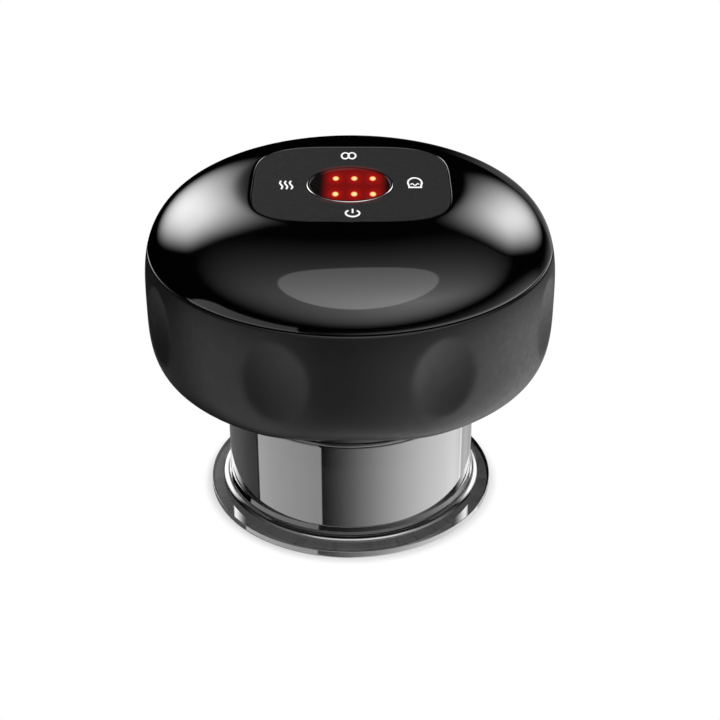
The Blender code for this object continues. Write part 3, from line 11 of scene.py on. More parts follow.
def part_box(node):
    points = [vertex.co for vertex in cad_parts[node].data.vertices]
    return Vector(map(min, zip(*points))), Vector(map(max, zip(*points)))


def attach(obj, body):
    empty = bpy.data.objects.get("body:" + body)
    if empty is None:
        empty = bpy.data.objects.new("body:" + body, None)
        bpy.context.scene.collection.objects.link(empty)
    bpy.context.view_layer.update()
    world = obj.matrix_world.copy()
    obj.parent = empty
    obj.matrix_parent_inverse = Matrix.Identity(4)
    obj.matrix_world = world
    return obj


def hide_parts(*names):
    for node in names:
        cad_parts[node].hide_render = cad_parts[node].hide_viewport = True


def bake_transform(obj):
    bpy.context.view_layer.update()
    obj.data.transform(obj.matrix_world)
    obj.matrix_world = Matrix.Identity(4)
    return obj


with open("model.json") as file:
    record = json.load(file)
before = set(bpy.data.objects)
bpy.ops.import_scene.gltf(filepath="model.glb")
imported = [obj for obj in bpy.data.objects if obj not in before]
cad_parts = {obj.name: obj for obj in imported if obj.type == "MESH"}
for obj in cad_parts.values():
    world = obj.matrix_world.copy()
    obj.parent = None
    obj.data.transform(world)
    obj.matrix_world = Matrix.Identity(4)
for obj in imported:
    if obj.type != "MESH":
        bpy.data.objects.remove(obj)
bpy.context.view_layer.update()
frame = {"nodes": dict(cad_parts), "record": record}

MM = 0.001
PX = 720

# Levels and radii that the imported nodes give, and the usual clearance.
GRIP_LOW, GRIP_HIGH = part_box("grip_housing")
COVER_LOW, COVER_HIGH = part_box("top_cover")
CUP_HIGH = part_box("cup")[1]
HEAD_LOW, HEAD_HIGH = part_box("head_base")
PLATE_LOW, PLATE_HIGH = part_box("heat_plate")
SEAL_LOW, SEAL_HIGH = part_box("cup_seal")
GASKET_LOW, GASKET_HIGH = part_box("seam_gasket")
KEYPAD_LOW, KEYPAD_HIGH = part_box("keypad")
BEZEL_LOW, BEZEL_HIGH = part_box("display_bezel")
WINDOW_LOW, WINDOW_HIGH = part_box("display_window")
PORT_LOW, PORT_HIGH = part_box("charge_port")
FIT = 0.3 * MM
BODY_RADIUS = GRIP_HIGH[0]
UNDERSIDE = GRIP_LOW[2]
RIM_TOP = GRIP_HIGH[2]
CROWN = COVER_HIGH[2]
LIP_BOTTOM = COVER_LOW[2]
POCKET_FLOOR_TOP = KEYPAD_LOW[2] - FIT

# The housing's own profile.
LOWER_RISE = 15.6 * MM
UNDERSIDE_RADIUS = 35.7 * MM
LOWER_POWER = 2.93
SIDE_RADIUS = 38.0 * MM
SIDE_POWER = 3.3
FRONT_RADIUS = 35.0 * MM
FRONT_POWER = 2.7
SIDE_TURN = math.radians(27)
DOME_POWER = 3.6
CROWN_FLAT = 0.9 * MM
CROWN_BLEND = 0.2 * MM
REVEAL = 0.25 * MM
SEAM_ROUNDING = 0.25 * MM
WIDEST = UNDERSIDE + LOWER_RISE
DOME_RISE = CROWN + CROWN_FLAT - WIDEST
COVER_BOTTOM = RIM_TOP + REVEAL
LIP_OUTER_RADIUS = 43.9 * MM
LIP_INNER_RADIUS = 42.3 * MM
COVER_WALL = 2.2 * MM
GRIP_INNER_RADIUS = 44.2 * MM
GRIP_FLOOR = 2.2 * MM
RIM_LAND = 1.1 * MM
RIM_LEDGE = 1.1 * MM
CEILING = POCKET_FLOOR_TOP - 1.5 * MM
WINDOW_HOLE_RADIUS = 8.4 * MM
POCKET_ROUNDING = 0.2 * MM
PANEL_POWER = 4.0
PANEL_GAP = 0.15 * MM
PANEL_LEFT = KEYPAD_HIGH[0] - 0.75 * MM
PANEL_RIGHT = KEYPAD_HIGH[0] - 0.05 * MM
PANEL_BACK = KEYPAD_HIGH[1] + 0.5 * MM
PANEL_FRONT = KEYPAD_HIGH[1] - 1.5 * MM
RING_RADIUS = BEZEL_HIGH[0] - 0.62 * MM
RING_WIDTH = 0.48 * MM
LENS_SINK = 0.14 * MM
POST_RADIUS = 1.3 * MM
BOSS_RADIUS = 2.4 * MM

# Panel, key skins and their printed marks.
KEYS = ("key_heat", "key_suction", "key_mode", "key_power")
PANEL_TOP = CROWN - 0.1 * MM
PANEL_ROUNDING = 0.2 * MM
OPENING_ROUNDING = 0.15 * MM
PATCH_RADIUS = 4.3 * MM
PATCH_CROWN = 0.06 * MM
PATCH_DEPTH = 0.6 * MM
ICON_LIFT = 0.015 * MM
ICON_THICKNESS = 0.02 * MM
ICON_WIDTH = 0.4 * MM
ICON_STRETCH = 1.8

# Light of the window, painted as glow on its lens, and its spill, painted as glow on the panel.
DOT_SHIFT_X = 1.0 * MM
DOT_SHIFT_Y = -0.9 * MM
DOT_PITCH_X = 4.2 * MM
DOT_PITCH_Y = 8.74 * MM
DOT_STRETCH = 1.8
DOT_CORE = (0.35 * MM, 0.92 * MM)
DOT_HALO = (0.5 * MM, 2.6 * MM)
FIELD_EDGE = (5.6 * MM, 7.9 * MM)
SPILL_REACH = 1.6 * MM
SPILL_ENDS = (6.5 * MM, 9.5 * MM)

# Finger dimples.
DIMPLE_COUNT = 8
DIMPLE_TURN = math.radians(2.9)
DIMPLE_WIDTH = 15.0 * MM
DIMPLE_HEIGHT = 19.0 * MM
DIMPLE_DEPTH = 1.5 * MM
DIMPLE_LEVEL = WIDEST + 1.6 * MM
DIMPLE_EDGE = 0.06

# Neck, spigot and cup.
NECK_RADIUS = 30.45 * MM
NECK_BEAD_RADIUS = 30.8 * MM
NECK_BEAD_HEIGHT = 0.75 * MM
NECK_BOTTOM = 28.35 * MM
CUP_RADIUS = 29.8 * MM
CUP_WALL = 2.0 * MM
CUP_RIM = NECK_BOTTOM - 0.2 * MM
FOOT_LEVEL = 5.5 * MM
LEDGE_RADIUS = 29.95 * MM
BAND_RADIUS = 30.35 * MM
BAND_BOTTOM = 4.35 * MM
GROOVE_RADIUS = 29.85 * MM
BEAD_LEVEL = 3.62 * MM
BEAD_CREST = 31.3 * MM
BEAD_RADIUS = 31.83 * MM
BEAD_EDGE = 2.99 * MM
UNDERCUT_RADIUS = 30.6 * MM
FLANGE_THICKNESS = 1.85 * MM

# Spring of the release valve.
SPRING_WIRE = 0.3 * MM
SPRING_TURNS = 4
SPRING_SIDES = 10

# Steps round and along.
TURN_STEPS = 256
GRIP_STEPS = 320
SMALL_STEPS = 24
OPENING_STEPS = 96
PATCH_STEPS = 64
ICON_STEPS = 24
ARC_PATH_STEPS = 40
ARC_STEPS = 5
DOME_ROWS = 56
LOWER_ROWS = 40
UPPER_ROWS = 34
SUPPORT = 0.02 * MM
CREASE = math.radians(35)

# Sizes of the slow colour drift and of the waves in a gloss surface.
DRIFT_SIZE = 4 * MM
WAVE_SIZE = 6 * MM

# Floor, and what the lamps face.
FLOOR_HALF = 0.6
SHADOW_EDGE = (CUP_HIGH[0] - 0.2 * MM, CUP_HIGH[0] + 2.6 * MM)
SHADOW_SHARE = 0.5
AIM = Vector((0.0, 0.0, 60 * MM))

# Camera.
CAMERA_PLACE = (2.3 * MM, -316.6 * MM, 215.8 * MM)
CAMERA_DIP = 0.523
FOCAL_PIXELS = 1515.3
SENSOR = 36.0


def linked(name, mesh):
    """Object for a mesh, put in the scene."""
    piece = bpy.data.objects.new(name, mesh)
    bpy.context.collection.objects.link(piece)
    return piece


def smoothed(mesh):
    """Shades a mesh smooth, with crisp edges where faces meet steeply."""
    mesh.polygons.foreach_set("use_smooth", [True] * len(mesh.polygons))
    mesh.set_sharp_from_angle(angle=CREASE)


def finished(name, work):
    """Piece made from a working mesh, its faces turned outwards."""
    bmesh.ops.recalc_face_normals(work, faces=work.faces)
    mesh = bpy.data.meshes.new(name)
    work.to_mesh(mesh)
    work.free()
    return linked(name, mesh)


def mesh_piece(name, points, faces):
    """Smooth-shaded piece with its faces turned outwards."""
    mesh = bpy.data.meshes.new(name)
    mesh.from_pydata(points, [], faces)
    work = bmesh.new()
    work.from_mesh(mesh)
    bmesh.ops.recalc_face_normals(work, faces=work.faces)
    work.to_mesh(mesh)
    work.free()
    smoothed(mesh)
    mesh.update()
    return linked(name, mesh)


def ring_faces(rows, count, loop):
    """Quads between neighbouring rings, and flat ends unless the rings close on themselves."""
    faces = []
    for row in range(rows if loop else rows - 1):
        low = row * count
        high = (row + 1) % rows * count
        for step in range(count):
            after = (step + 1) % count
            faces.append((low + step, low + after, high + after, high + step))
    if not loop:
        faces.append(tuple(range(count - 1, -1, -1)))
        faces.append(tuple(range((rows - 1) * count, rows * count)))
    return faces


def skin(name, rings, loop=False):
    """Skin over rings of equal counts."""
    points = [point for ring in rings for point in ring]
    return mesh_piece(name, points, ring_faces(len(rings), len(rings[0]), loop))


def circle(radius, height, count=TURN_STEPS, centre=(0.0, 0.0)):
    """Points of a level circle."""
    ring = []
    for step in range(count):
        angle = math.tau * step / count
        ring.append((centre[0] + radius * math.cos(angle), centre[1] + radius * math.sin(angle), height))
    return ring


def polar(radius, angle, height):
    """Point at a radius, an angle and a height."""
    return (radius * math.cos(angle), radius * math.sin(angle), height)


def quarter(radius, first=0):
    """Steps round an edge of the given radius: how far in from its side and down from its top each lies."""
    for step in range(first, ARC_STEPS + 1):
        turn = math.pi / 2 * step / ARC_STEPS
        yield radius * (1 - math.cos(turn)), radius * (1 - math.sin(turn))


def turned(name, outline):
    """Ring-shaped body turned from a closed outline of radius and height."""
    return skin(name, [circle(radius, height) for radius, height in outline], True)


def filleted(corners, steps=ARC_STEPS):
    """Outline whose corners (x, z, radius) are replaced by arcs."""
    outline = []
    for place, (x, z, radius) in enumerate(corners):
        here = Vector((x, z))
        if not radius:
            outline.append((x, z))
            continue
        back = (Vector(corners[place - 1][:2]) - here).normalized()
        ahead = (Vector(corners[(place + 1) % len(corners)][:2]) - here).normalized()
        half = math.acos(max(-1.0, min(1.0, back.dot(ahead)))) / 2
        reach = radius / math.tan(half)
        centre = here + (back + ahead).normalized() * radius / math.sin(half)
        start = here + back * reach - centre
        end = here + ahead * reach - centre
        sweep = math.pi - 2 * half
        turn = math.copysign(sweep, start.x * end.y - start.y * end.x)
        first = here + back * (reach + SUPPORT)
        outline.append((first.x, first.y))
        for step in range(steps + 1):
            angle = turn * step / steps
            c, s = math.cos(angle), math.sin(angle)
            outline.append((centre.x + start.x * c - start.y * s, centre.y + start.x * s + start.y * c))
        last = here + ahead * (reach + SUPPORT)
        outline.append((last.x, last.y))
    return outline


def cut(body, tool):
    """Cuts the tool out of a body and removes the tool."""
    step = body.modifiers.new("cut", "BOOLEAN")
    step.operation = "DIFFERENCE"
    step.solver = "EXACT"
    step.object = tool
    graph = bpy.context.evaluated_depsgraph_get()
    result = bpy.data.meshes.new_from_object(body.evaluated_get(graph))
    body.modifiers.remove(step)
    body.data = result
    bpy.data.objects.remove(tool)
    result.set_sharp_from_angle(angle=CREASE)


def join(body, extra):
    """Adds the faces of one piece to another."""
    work = bmesh.new()
    work.from_mesh(body.data)
    work.from_mesh(extra.data)
    work.to_mesh(body.data)
    work.free()
    bpy.data.objects.remove(extra)


def rod(name, radius, low, high, centre=(0.0, 0.0)):
    """Plain round bar between two levels."""
    return skin(name, [circle(radius, level, SMALL_STEPS, centre) for level in (low, high)])


def plan_centre(name):
    """Middle of a node's box, seen from above."""
    low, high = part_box(name)
    return ((low[0] + high[0]) / 2, (low[1] + high[1]) / 2)


def dome_radius(height):
    """Outer radius of the housing at its widest level or above it."""
    share = min((height - WIDEST) / DOME_RISE, 1.0)
    return BODY_RADIUS * (1 - share ** DOME_POWER) ** (1 / DOME_POWER)


def grip_radius(angle, height):
    """Outer radius of the grip, whose underside turns in sooner at the front than round the rest."""
    if height >= WIDEST:
        return dome_radius(height)
    off_front = abs((angle - math.pi / 2) % math.tau - math.pi)
    turn = min(off_front / SIDE_TURN, 1.0)
    turn = turn * turn * (3 - 2 * turn)
    low = FRONT_RADIUS + (SIDE_RADIUS - FRONT_RADIUS) * turn
    power = FRONT_POWER + (SIDE_POWER - FRONT_POWER) * turn
    share = min((WIDEST - height) / LOWER_RISE, 1.0)
    return low + (BODY_RADIUS - low) * (1 - share ** power) ** (1 / power)


def dome_height(radius):
    """Height of the cover's outside at a radius, levelled off softly at the crown."""
    share = min(radius / BODY_RADIUS, 1.0)
    height = WIDEST + DOME_RISE * (1 - share ** DOME_POWER) ** (1 / DOME_POWER)
    return (height + CROWN - math.hypot(height - CROWN, CROWN_BLEND)) / 2


def panel_radius(angle, inset):
    """Reach of the square panel's outline in one direction."""
    half_x = (PANEL_RIGHT if math.cos(angle) > 0 else PANEL_LEFT) - inset
    half_y = (PANEL_BACK if math.sin(angle) > 0 else PANEL_FRONT) - inset
    across = abs(math.cos(angle)) / half_x
    along = abs(math.sin(angle)) / half_y
    return (across ** PANEL_POWER + along ** PANEL_POWER) ** (-1 / PANEL_POWER)


def panel_ring(inset, height):
    """Points of the panel's outline at a level."""
    angles = [math.tau * step / TURN_STEPS for step in range(TURN_STEPS)]
    return [polar(panel_radius(angle, inset), angle, height) for angle in angles]


def cover_dome_rings():
    """Rings of the cover's outside from the pocket's edge down to the seam."""
    rings = [[] for _ in range(DOME_ROWS + 1)]
    foot = math.asin(((COVER_BOTTOM + SEAM_ROUNDING - WIDEST) / DOME_RISE) ** (DOME_POWER / 2))
    for step in range(TURN_STEPS):
        angle = math.tau * step / TURN_STEPS
        inner = panel_radius(angle, -PANEL_GAP - POCKET_ROUNDING)
        head = math.acos((inner / BODY_RADIUS) ** (DOME_POWER / 2))
        for row in range(DOME_ROWS + 1):
            place = head + (foot - head) * row / DOME_ROWS
            radius = BODY_RADIUS * math.cos(place) ** (2 / DOME_POWER)
            rings[row].append(polar(radius, angle, dome_height(radius)))
    return rings


def pocket_rings():
    """Rings of the pocket: floor from the window's hole outwards, wall and rounded edge."""
    rings = [circle(WINDOW_HOLE_RADIUS, POCKET_FLOOR_TOP)]
    rings.append(panel_ring(-PANEL_GAP + SUPPORT, POCKET_FLOOR_TOP))
    rings.append(panel_ring(-PANEL_GAP, POCKET_FLOOR_TOP))
    for inset, drop in quarter(POCKET_ROUNDING):
        ring = []
        for place in range(TURN_STEPS):
            angle = math.tau * place / TURN_STEPS
            edge = dome_height(panel_radius(angle, -PANEL_GAP - POCKET_ROUNDING))
            ring.append(polar(panel_radius(angle, -PANEL_GAP - inset), angle, edge - drop))
        rings.append(ring)
    return rings


def make_cover():
    """Gloss upper shell in one skin, with its lip, inside, bosses and holes."""
    rings = pocket_rings()
    rings += cover_dome_rings()[1:]
    foot = dome_radius(COVER_BOTTOM + SEAM_ROUNDING)
    for inset, drop in quarter(SEAM_ROUNDING, 1):
        rings.append(circle(foot - inset, COVER_BOTTOM + drop))
    rings.append(circle(foot - SEAM_ROUNDING - SUPPORT, COVER_BOTTOM))
    rings.append(circle(LIP_OUTER_RADIUS, COVER_BOTTOM))
    rings.append(circle(LIP_OUTER_RADIUS, LIP_BOTTOM))
    rings.append(circle(LIP_INNER_RADIUS, LIP_BOTTOM))
    inner_radius = BODY_RADIUS - COVER_WALL
    inner_rise = DOME_RISE - COVER_WALL
    start = math.acos((LIP_INNER_RADIUS / inner_radius) ** (DOME_POWER / 2))
    end = math.asin(((CEILING - WIDEST) / inner_rise) ** (DOME_POWER / 2))
    for row in range(SMALL_STEPS + 1):
        place = start + (end - start) * row / SMALL_STEPS
        rings.append(circle(inner_radius * math.cos(place) ** (2 / DOME_POWER),
                            WIDEST + inner_rise * math.sin(place) ** (2 / DOME_POWER)))
    rings.append(circle(WINDOW_HOLE_RADIUS, CEILING))
    cover = skin("cover_skin", rings, loop=True)
    for name in KEYS:
        centre = plan_centre(name)
        cut(cover, rod("post_hole", POST_RADIUS + FIT, CEILING - FIT, POCKET_FLOOR_TOP + FIT, centre))
    board_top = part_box("main_board")[1][2]
    for number in (1, 2, 3):
        low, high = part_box(f"board_screw_{number}")
        centre = plan_centre(f"board_screw_{number}")
        boss = rod("boss", BOSS_RADIUS, board_top + FIT, CEILING + FIT, centre)
        cut(boss, rod("boss_bore", (high[0] - low[0]) / 4 + FIT, board_top, CEILING, centre))
        join(cover, boss)
    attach(cover, "housing")
    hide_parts("top_cover")
    return cover


def dimple_depth(angle, height):
    """Depth of the finger dimples at one place on the grip."""
    pitch = math.tau / DIMPLE_COUNT
    across = ((angle - DIMPLE_TURN) % pitch - pitch / 2) * BODY_RADIUS / (DIMPLE_WIDTH / 2)
    along = (height - DIMPLE_LEVEL) / (DIMPLE_HEIGHT / 2)
    inside = 1 - across ** 2 - along ** 2
    return DIMPLE_DEPTH * (inside + math.hypot(inside, DIMPLE_EDGE)) / 2


def grip_outside_levels():
    """Levels of the grip's outer rings, closest together where the underside turns in."""
    levels = []
    for row in range(LOWER_ROWS):
        angle = math.pi / 2 * (1 - row / LOWER_ROWS)
        levels.append(WIDEST - LOWER_RISE * math.sin(angle) ** (2 / LOWER_POWER))
    top = RIM_TOP - SEAM_ROUNDING
    for row in range(UPPER_ROWS + 1):
        levels.append(WIDEST + (top - WIDEST) * row / UPPER_ROWS)
    return levels


def make_grip():
    """Matt lower shell with its dimples, rim, inside and charging slot."""
    rings = []
    for level in grip_outside_levels():
        ring = []
        for step in range(GRIP_STEPS):
            angle = math.tau * step / GRIP_STEPS
            ring.append(polar(grip_radius(angle, level) - dimple_depth(angle, level), angle, level))
        rings.append(ring)
    rim = dome_radius(RIM_TOP)
    for inset, drop in quarter(SEAM_ROUNDING, 1):
        rings.append(circle(rim - inset, RIM_TOP - drop, GRIP_STEPS))
    plain = [
        (rim - RIM_LAND, RIM_TOP),
        (rim - RIM_LAND, RIM_TOP - RIM_LEDGE),
        (GRIP_INNER_RADIUS, RIM_TOP - RIM_LEDGE),
    ]
    swell = GRIP_INNER_RADIUS - UNDERSIDE_RADIUS
    for step in range(SMALL_STEPS + 1):
        angle = math.pi / 2 * step / SMALL_STEPS
        plain.append((UNDERSIDE_RADIUS + swell * math.cos(angle) ** (2 / LOWER_POWER),
                      WIDEST - (LOWER_RISE - GRIP_FLOOR) * math.sin(angle) ** (2 / LOWER_POWER)))
    plain.append((NECK_RADIUS + FIT, UNDERSIDE + GRIP_FLOOR))
    plain.append((NECK_RADIUS + FIT, UNDERSIDE))
    rings += [circle(radius, level, GRIP_STEPS) for radius, level in plain]
    grip = skin("grip_skin", rings, loop=True)
    slot = skin("slot", [stadium(FIT, PORT_LOW[1]), stadium(FIT, BODY_RADIUS + FIT)])
    cut(grip, slot)
    for number in (1, 2, 3):
        low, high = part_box(f"head_screw_{number}")
        pilot = (high[0] - low[0]) / 4 + FIT
        centre = plan_centre(f"head_screw_{number}")
        cut(grip, rod("pilot", pilot, low[2] - FIT, UNDERSIDE + GRIP_FLOOR + FIT, centre))
    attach(grip, "housing")
    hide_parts("grip_housing")
    return grip


def stadium(grow, y):
    """Round-ended upright outline of the charging port, grown all round, at a distance back."""
    half_x = PORT_HIGH[0]
    half_z = (PORT_HIGH[2] - PORT_LOW[2]) / 2
    middle = (PORT_HIGH[2] + PORT_LOW[2]) / 2
    ring = []
    for step in range(2 * SMALL_STEPS):
        angle = math.tau * (step + 0.5) / (2 * SMALL_STEPS)
        shift = math.copysign(half_x - half_z, math.cos(angle))
        reach = half_z + grow
        ring.append((shift + reach * math.cos(angle), y, middle + reach * math.sin(angle)))
    return ring


def make_port():
    """Thin-walled metal mouth of the charging inlet, with its contact tongue."""
    wall = 0.35 * MM
    rounding = 0.12 * MM
    mouth = PORT_HIGH[1]
    section = [
        (0.0, PORT_LOW[1]),
        (0.0, mouth - rounding),
        (-rounding / 3, mouth - rounding / 3),
        (-rounding, mouth),
        (-wall + rounding, mouth),
        (-wall, mouth - rounding),
        (-wall, PORT_LOW[1] + 2 * wall),
    ]
    shell = skin("inlet_shell", [stadium(grow, y) for grow, y in section])
    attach(shell, "housing")
    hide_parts("charge_port")
    middle = (PORT_HIGH[2] + PORT_LOW[2]) / 2
    half_x, half_z = 3.1 * MM, 0.33 * MM
    low_y, high_y = PORT_LOW[1] + 2 * wall + FIT / 3, mouth - 0.9 * MM
    rings = []
    for y, inset in ((low_y, 0.0), (high_y - rounding, 0.0), (high_y, rounding)):
        x, z = half_x - inset, half_z - inset
        rings.append([(-x, y, middle - z), (x, y, middle - z), (x, y, middle + z), (-x, y, middle + z)])
    tongue = skin("inlet_tongue", rings)
    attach(tongue, "housing")
    return shell, tongue


def make_cup():
    """Smoke cup with its rounded rim, foot band, rolled bead, undercut and flange."""
    inner = CUP_RADIUS - CUP_WALL
    flange = CUP_HIGH[0]
    corners = [
        (inner, CUP_RIM, 0.5 * MM),
        (CUP_RADIUS, CUP_RIM, 1.1 * MM),
        (CUP_RADIUS, FOOT_LEVEL, 0.0),
        (LEDGE_RADIUS, FOOT_LEVEL, 0.05 * MM),
        (BAND_RADIUS, BAND_BOTTOM, 0.05 * MM),
        (GROOVE_RADIUS, BAND_BOTTOM, 0.0),
        (GROOVE_RADIUS, BEAD_LEVEL, 0.0),
        (BEAD_CREST, BEAD_LEVEL, 1.7 * MM),
        (BEAD_RADIUS, BEAD_EDGE, 0.03 * MM),
        (UNDERCUT_RADIUS, BEAD_EDGE, 0.0),
        (UNDERCUT_RADIUS, FLANGE_THICKNESS, 0.0),
        (flange, FLANGE_THICKNESS, 0.1 * MM),
        (flange, 0.0, 0.6 * MM),
        (inner + 0.9 * MM, 0.0, 0.0),
        (inner, 0.9 * MM, 0.0),
    ]
    cup = turned("cup_skin", filleted(corners))
    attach(cup, "cup")
    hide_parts("cup")
    return cup


def make_head():
    """Neck under the grip and the spigot that carries the cup, with its seal."""
    seal_middle = (SEAL_LOW[2] + SEAL_HIGH[2]) / 2
    section = (SEAL_HIGH[2] - SEAL_LOW[2]) / 2 / math.cos(math.pi / 6)
    seal_radius = SEAL_HIGH[0] - section
    groove = seal_radius - section - FIT
    spigot = 27.2 * MM
    well = 24.0 * MM
    flange_low, flange_high = HEAD_HIGH[2] - 2.0 * MM, HEAD_HIGH[2]
    wall = 2.0 * MM
    floor_top = HEAD_LOW[2] + 2.2 * MM
    nipple_radius, nipple_bore, nipple_top = 1.6 * MM, 0.8 * MM, 30.9 * MM
    filter_radius = 4.0 * MM
    pocket_top = HEAD_LOW[2] + 1.2 * MM
    corners = [
        (nipple_bore, pocket_top, 0.0),
        (filter_radius, pocket_top, 0.0),
        (filter_radius, HEAD_LOW[2], 0.0),
        (spigot, HEAD_LOW[2], 0.5 * MM),
        (spigot, seal_middle - section - FIT, 0.0),
        (groove, seal_middle - section - FIT, 0.0),
        (groove, seal_middle + section + FIT, 0.0),
        (spigot, seal_middle + section + FIT, 0.0),
        (spigot, NECK_BOTTOM, 0.0),
        (NECK_BEAD_RADIUS, NECK_BOTTOM, 0.35 * MM),
        (NECK_BEAD_RADIUS, NECK_BOTTOM + NECK_BEAD_HEIGHT, 0.3 * MM),
        (NECK_RADIUS, NECK_BOTTOM + NECK_BEAD_HEIGHT, 0.0),
        (NECK_RADIUS, flange_low, 0.0),
        (HEAD_HIGH[0], flange_low, 0.0),
        (HEAD_HIGH[0], flange_high, 0.0),
        (NECK_RADIUS - wall, flange_high, 0.0),
        (NECK_RADIUS - wall, NECK_BOTTOM + wall, 0.0),
        (well, NECK_BOTTOM + wall, 0.0),
        (well, floor_top, 0.0),
        (nipple_radius, floor_top, 0.0),
        (nipple_radius, nipple_top, 0.0),
        (nipple_bore, nipple_top, 0.0),
    ]
    head = turned("neck_skin", filleted(corners))
    for number in (1, 2, 3):
        low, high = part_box(f"head_screw_{number}")
        centre = plan_centre(f"head_screw_{number}")
        cut(head, rod("drill", (high[0] - low[0]) / 4 + FIT, flange_low - FIT, flange_high + FIT, centre))
    sensor_low, sensor_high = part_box("heat_sensor")
    sensor_radius = (sensor_high[0] - sensor_low[0]) / 2
    centre = ((sensor_low[0] + sensor_high[0]) / 2, 0.0)
    cut(head, rod("sensor_hole", sensor_radius + FIT, HEAD_LOW[2] - FIT, floor_top + FIT, centre))
    lead_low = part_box("heater_lead")[0]
    lead_radius = 0.6 * MM
    centre = (lead_low[0] + lead_radius, 0.0)
    cut(head, rod("lead_hole", lead_radius + FIT, HEAD_LOW[2] - FIT, floor_top + FIT, centre))
    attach(head, "housing")
    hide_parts("head_base")
    half = (SEAL_HIGH[2] - SEAL_LOW[2]) / 2
    outline = []
    for step in range(SMALL_STEPS):
        angle = math.tau * step / SMALL_STEPS
        outline.append((seal_radius + half * math.cos(angle), seal_middle + half * math.sin(angle)))
    seal = turned("seal_ring", outline)
    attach(seal, "housing")
    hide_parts("cup_seal")
    return head, seal


def make_warm_plate():
    """Polished metal dish that closes the spigot, with the air hole in its middle."""
    low, top = PLATE_LOW[2], PLATE_HIGH[2]
    radius = PLATE_HIGH[0]
    rim, seat = 2.6 * MM, top - 0.8 * MM
    hole = 2.0 * MM
    corners = [
        (hole, seat, 0.0),
        (radius - rim, seat, 0.0),
        (radius - rim, top, 0.0),
        (radius, top, 0.3 * MM),
        (radius, top - 1.2 * MM, 0.5 * MM),
        (radius - rim, low, 1.2 * MM),
        (hole + 0.8 * MM, low, 0.6 * MM),
        (hole, low + 0.8 * MM, 0.0),
    ]
    plate = turned("warm_plate", filleted(corners))
    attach(plate, "housing")
    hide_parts("heat_plate")
    return plate


def make_spring():
    """Coil spring of the release valve, its foot on the housing and its top on the plunger."""
    low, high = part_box("valve_spring")
    centre = Vector((*plan_centre("valve_spring"), 0.0))
    coil = (high[0] - low[0]) / 2 - SPRING_WIRE
    foot, top = low[2] + SPRING_WIRE, high[2] - SPRING_WIRE
    slope = math.atan2(top - foot, SPRING_TURNS * math.tau * coil)
    rings = []
    for step in range(SPRING_TURNS * SMALL_STEPS + 1):
        angle = math.tau * step / SMALL_STEPS
        out = Vector((math.cos(angle), math.sin(angle), 0.0))
        ahead = Vector((-math.sin(angle), math.cos(angle), 0.0))
        rise = Vector((0.0, 0.0, math.cos(slope))) - ahead * math.sin(slope)
        level = foot + (top - foot) * step / (SPRING_TURNS * SMALL_STEPS)
        middle = centre + out * coil + Vector((0.0, 0.0, level))
        ring = []
        for side in range(SPRING_SIDES):
            turn = math.tau * side / SPRING_SIDES
            ring.append(tuple(middle + (out * math.cos(turn) + rise * math.sin(turn)) * SPRING_WIRE))
        rings.append(ring)
    spring = skin("valve_coil", rings)
    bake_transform(spring)
    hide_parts("valve_spring")
    return spring


def make_gasket():
    """Soft ring seen in the reveal between the shells."""
    gasket_top = min(GASKET_HIGH[2], COVER_BOTTOM)
    corners = [
        (GRIP_INNER_RADIUS, GASKET_LOW[2], 0.15 * MM),
        (GASKET_HIGH[0], GASKET_LOW[2], 0.15 * MM),
        (GASKET_HIGH[0], gasket_top, 0.15 * MM),
        (GRIP_INNER_RADIUS, gasket_top, 0.15 * MM),
    ]
    gasket = turned("gasket_ring", filleted(corners))
    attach(gasket, "housing")
    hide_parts("seam_gasket")
    return gasket


def make_window():
    """Dark lens with a slightly crowned face, and its bright ring."""
    radius, low, high = WINDOW_HIGH[0], WINDOW_LOW[2], BEZEL_HIGH[2] - LENS_SINK
    crown, edge = 0.06 * MM, 0.2 * MM
    rings = [circle(radius, low)]
    for inset, drop in quarter(edge):
        rings.append(circle(radius - inset, high - crown - drop))
    for row in range(1, SMALL_STEPS):
        share = row / SMALL_STEPS
        rings.append(circle((radius - edge) * (1 - share), high - crown + crown * (1 - (1 - share) ** 2)))
    lens = skin("window_lens", rings)
    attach(lens, "housing")
    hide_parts("display_window")
    corners = [
        (RING_RADIUS - RING_WIDTH, BEZEL_LOW[2], 0.0),
        (RING_RADIUS, BEZEL_LOW[2], 0.0),
        (RING_RADIUS, BEZEL_HIGH[2], 0.22 * MM),
        (RING_RADIUS - RING_WIDTH, BEZEL_HIGH[2], 0.0),
    ]
    ring = turned("window_ring", filleted(corners, 2 * ARC_STEPS))
    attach(ring, "housing")
    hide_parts("display_bezel")
    return lens, ring


def add_ring(work, ring):
    """Adds a closed chain of points to a working mesh and returns them."""
    return [work.verts.new(point) for point in ring]


def bridge(work, first, second):
    """Joins two chains of equal counts with quads."""
    count = len(first)
    for step in range(count):
        after = (step + 1) % count
        work.faces.new((first[step], first[after], second[after], second[step]))


def fill(work, chains):
    """Fills the area between one outer chain and the chains inside it."""
    edges = []
    for chain in chains:
        for step, vert in enumerate(chain):
            after = chain[(step + 1) % len(chain)]
            edge = work.edges.get((vert, after)) or work.edges.new((vert, after))
            edges.append(edge)
    bmesh.ops.triangle_fill(work, use_beauty=True, use_dissolve=False, edges=edges)


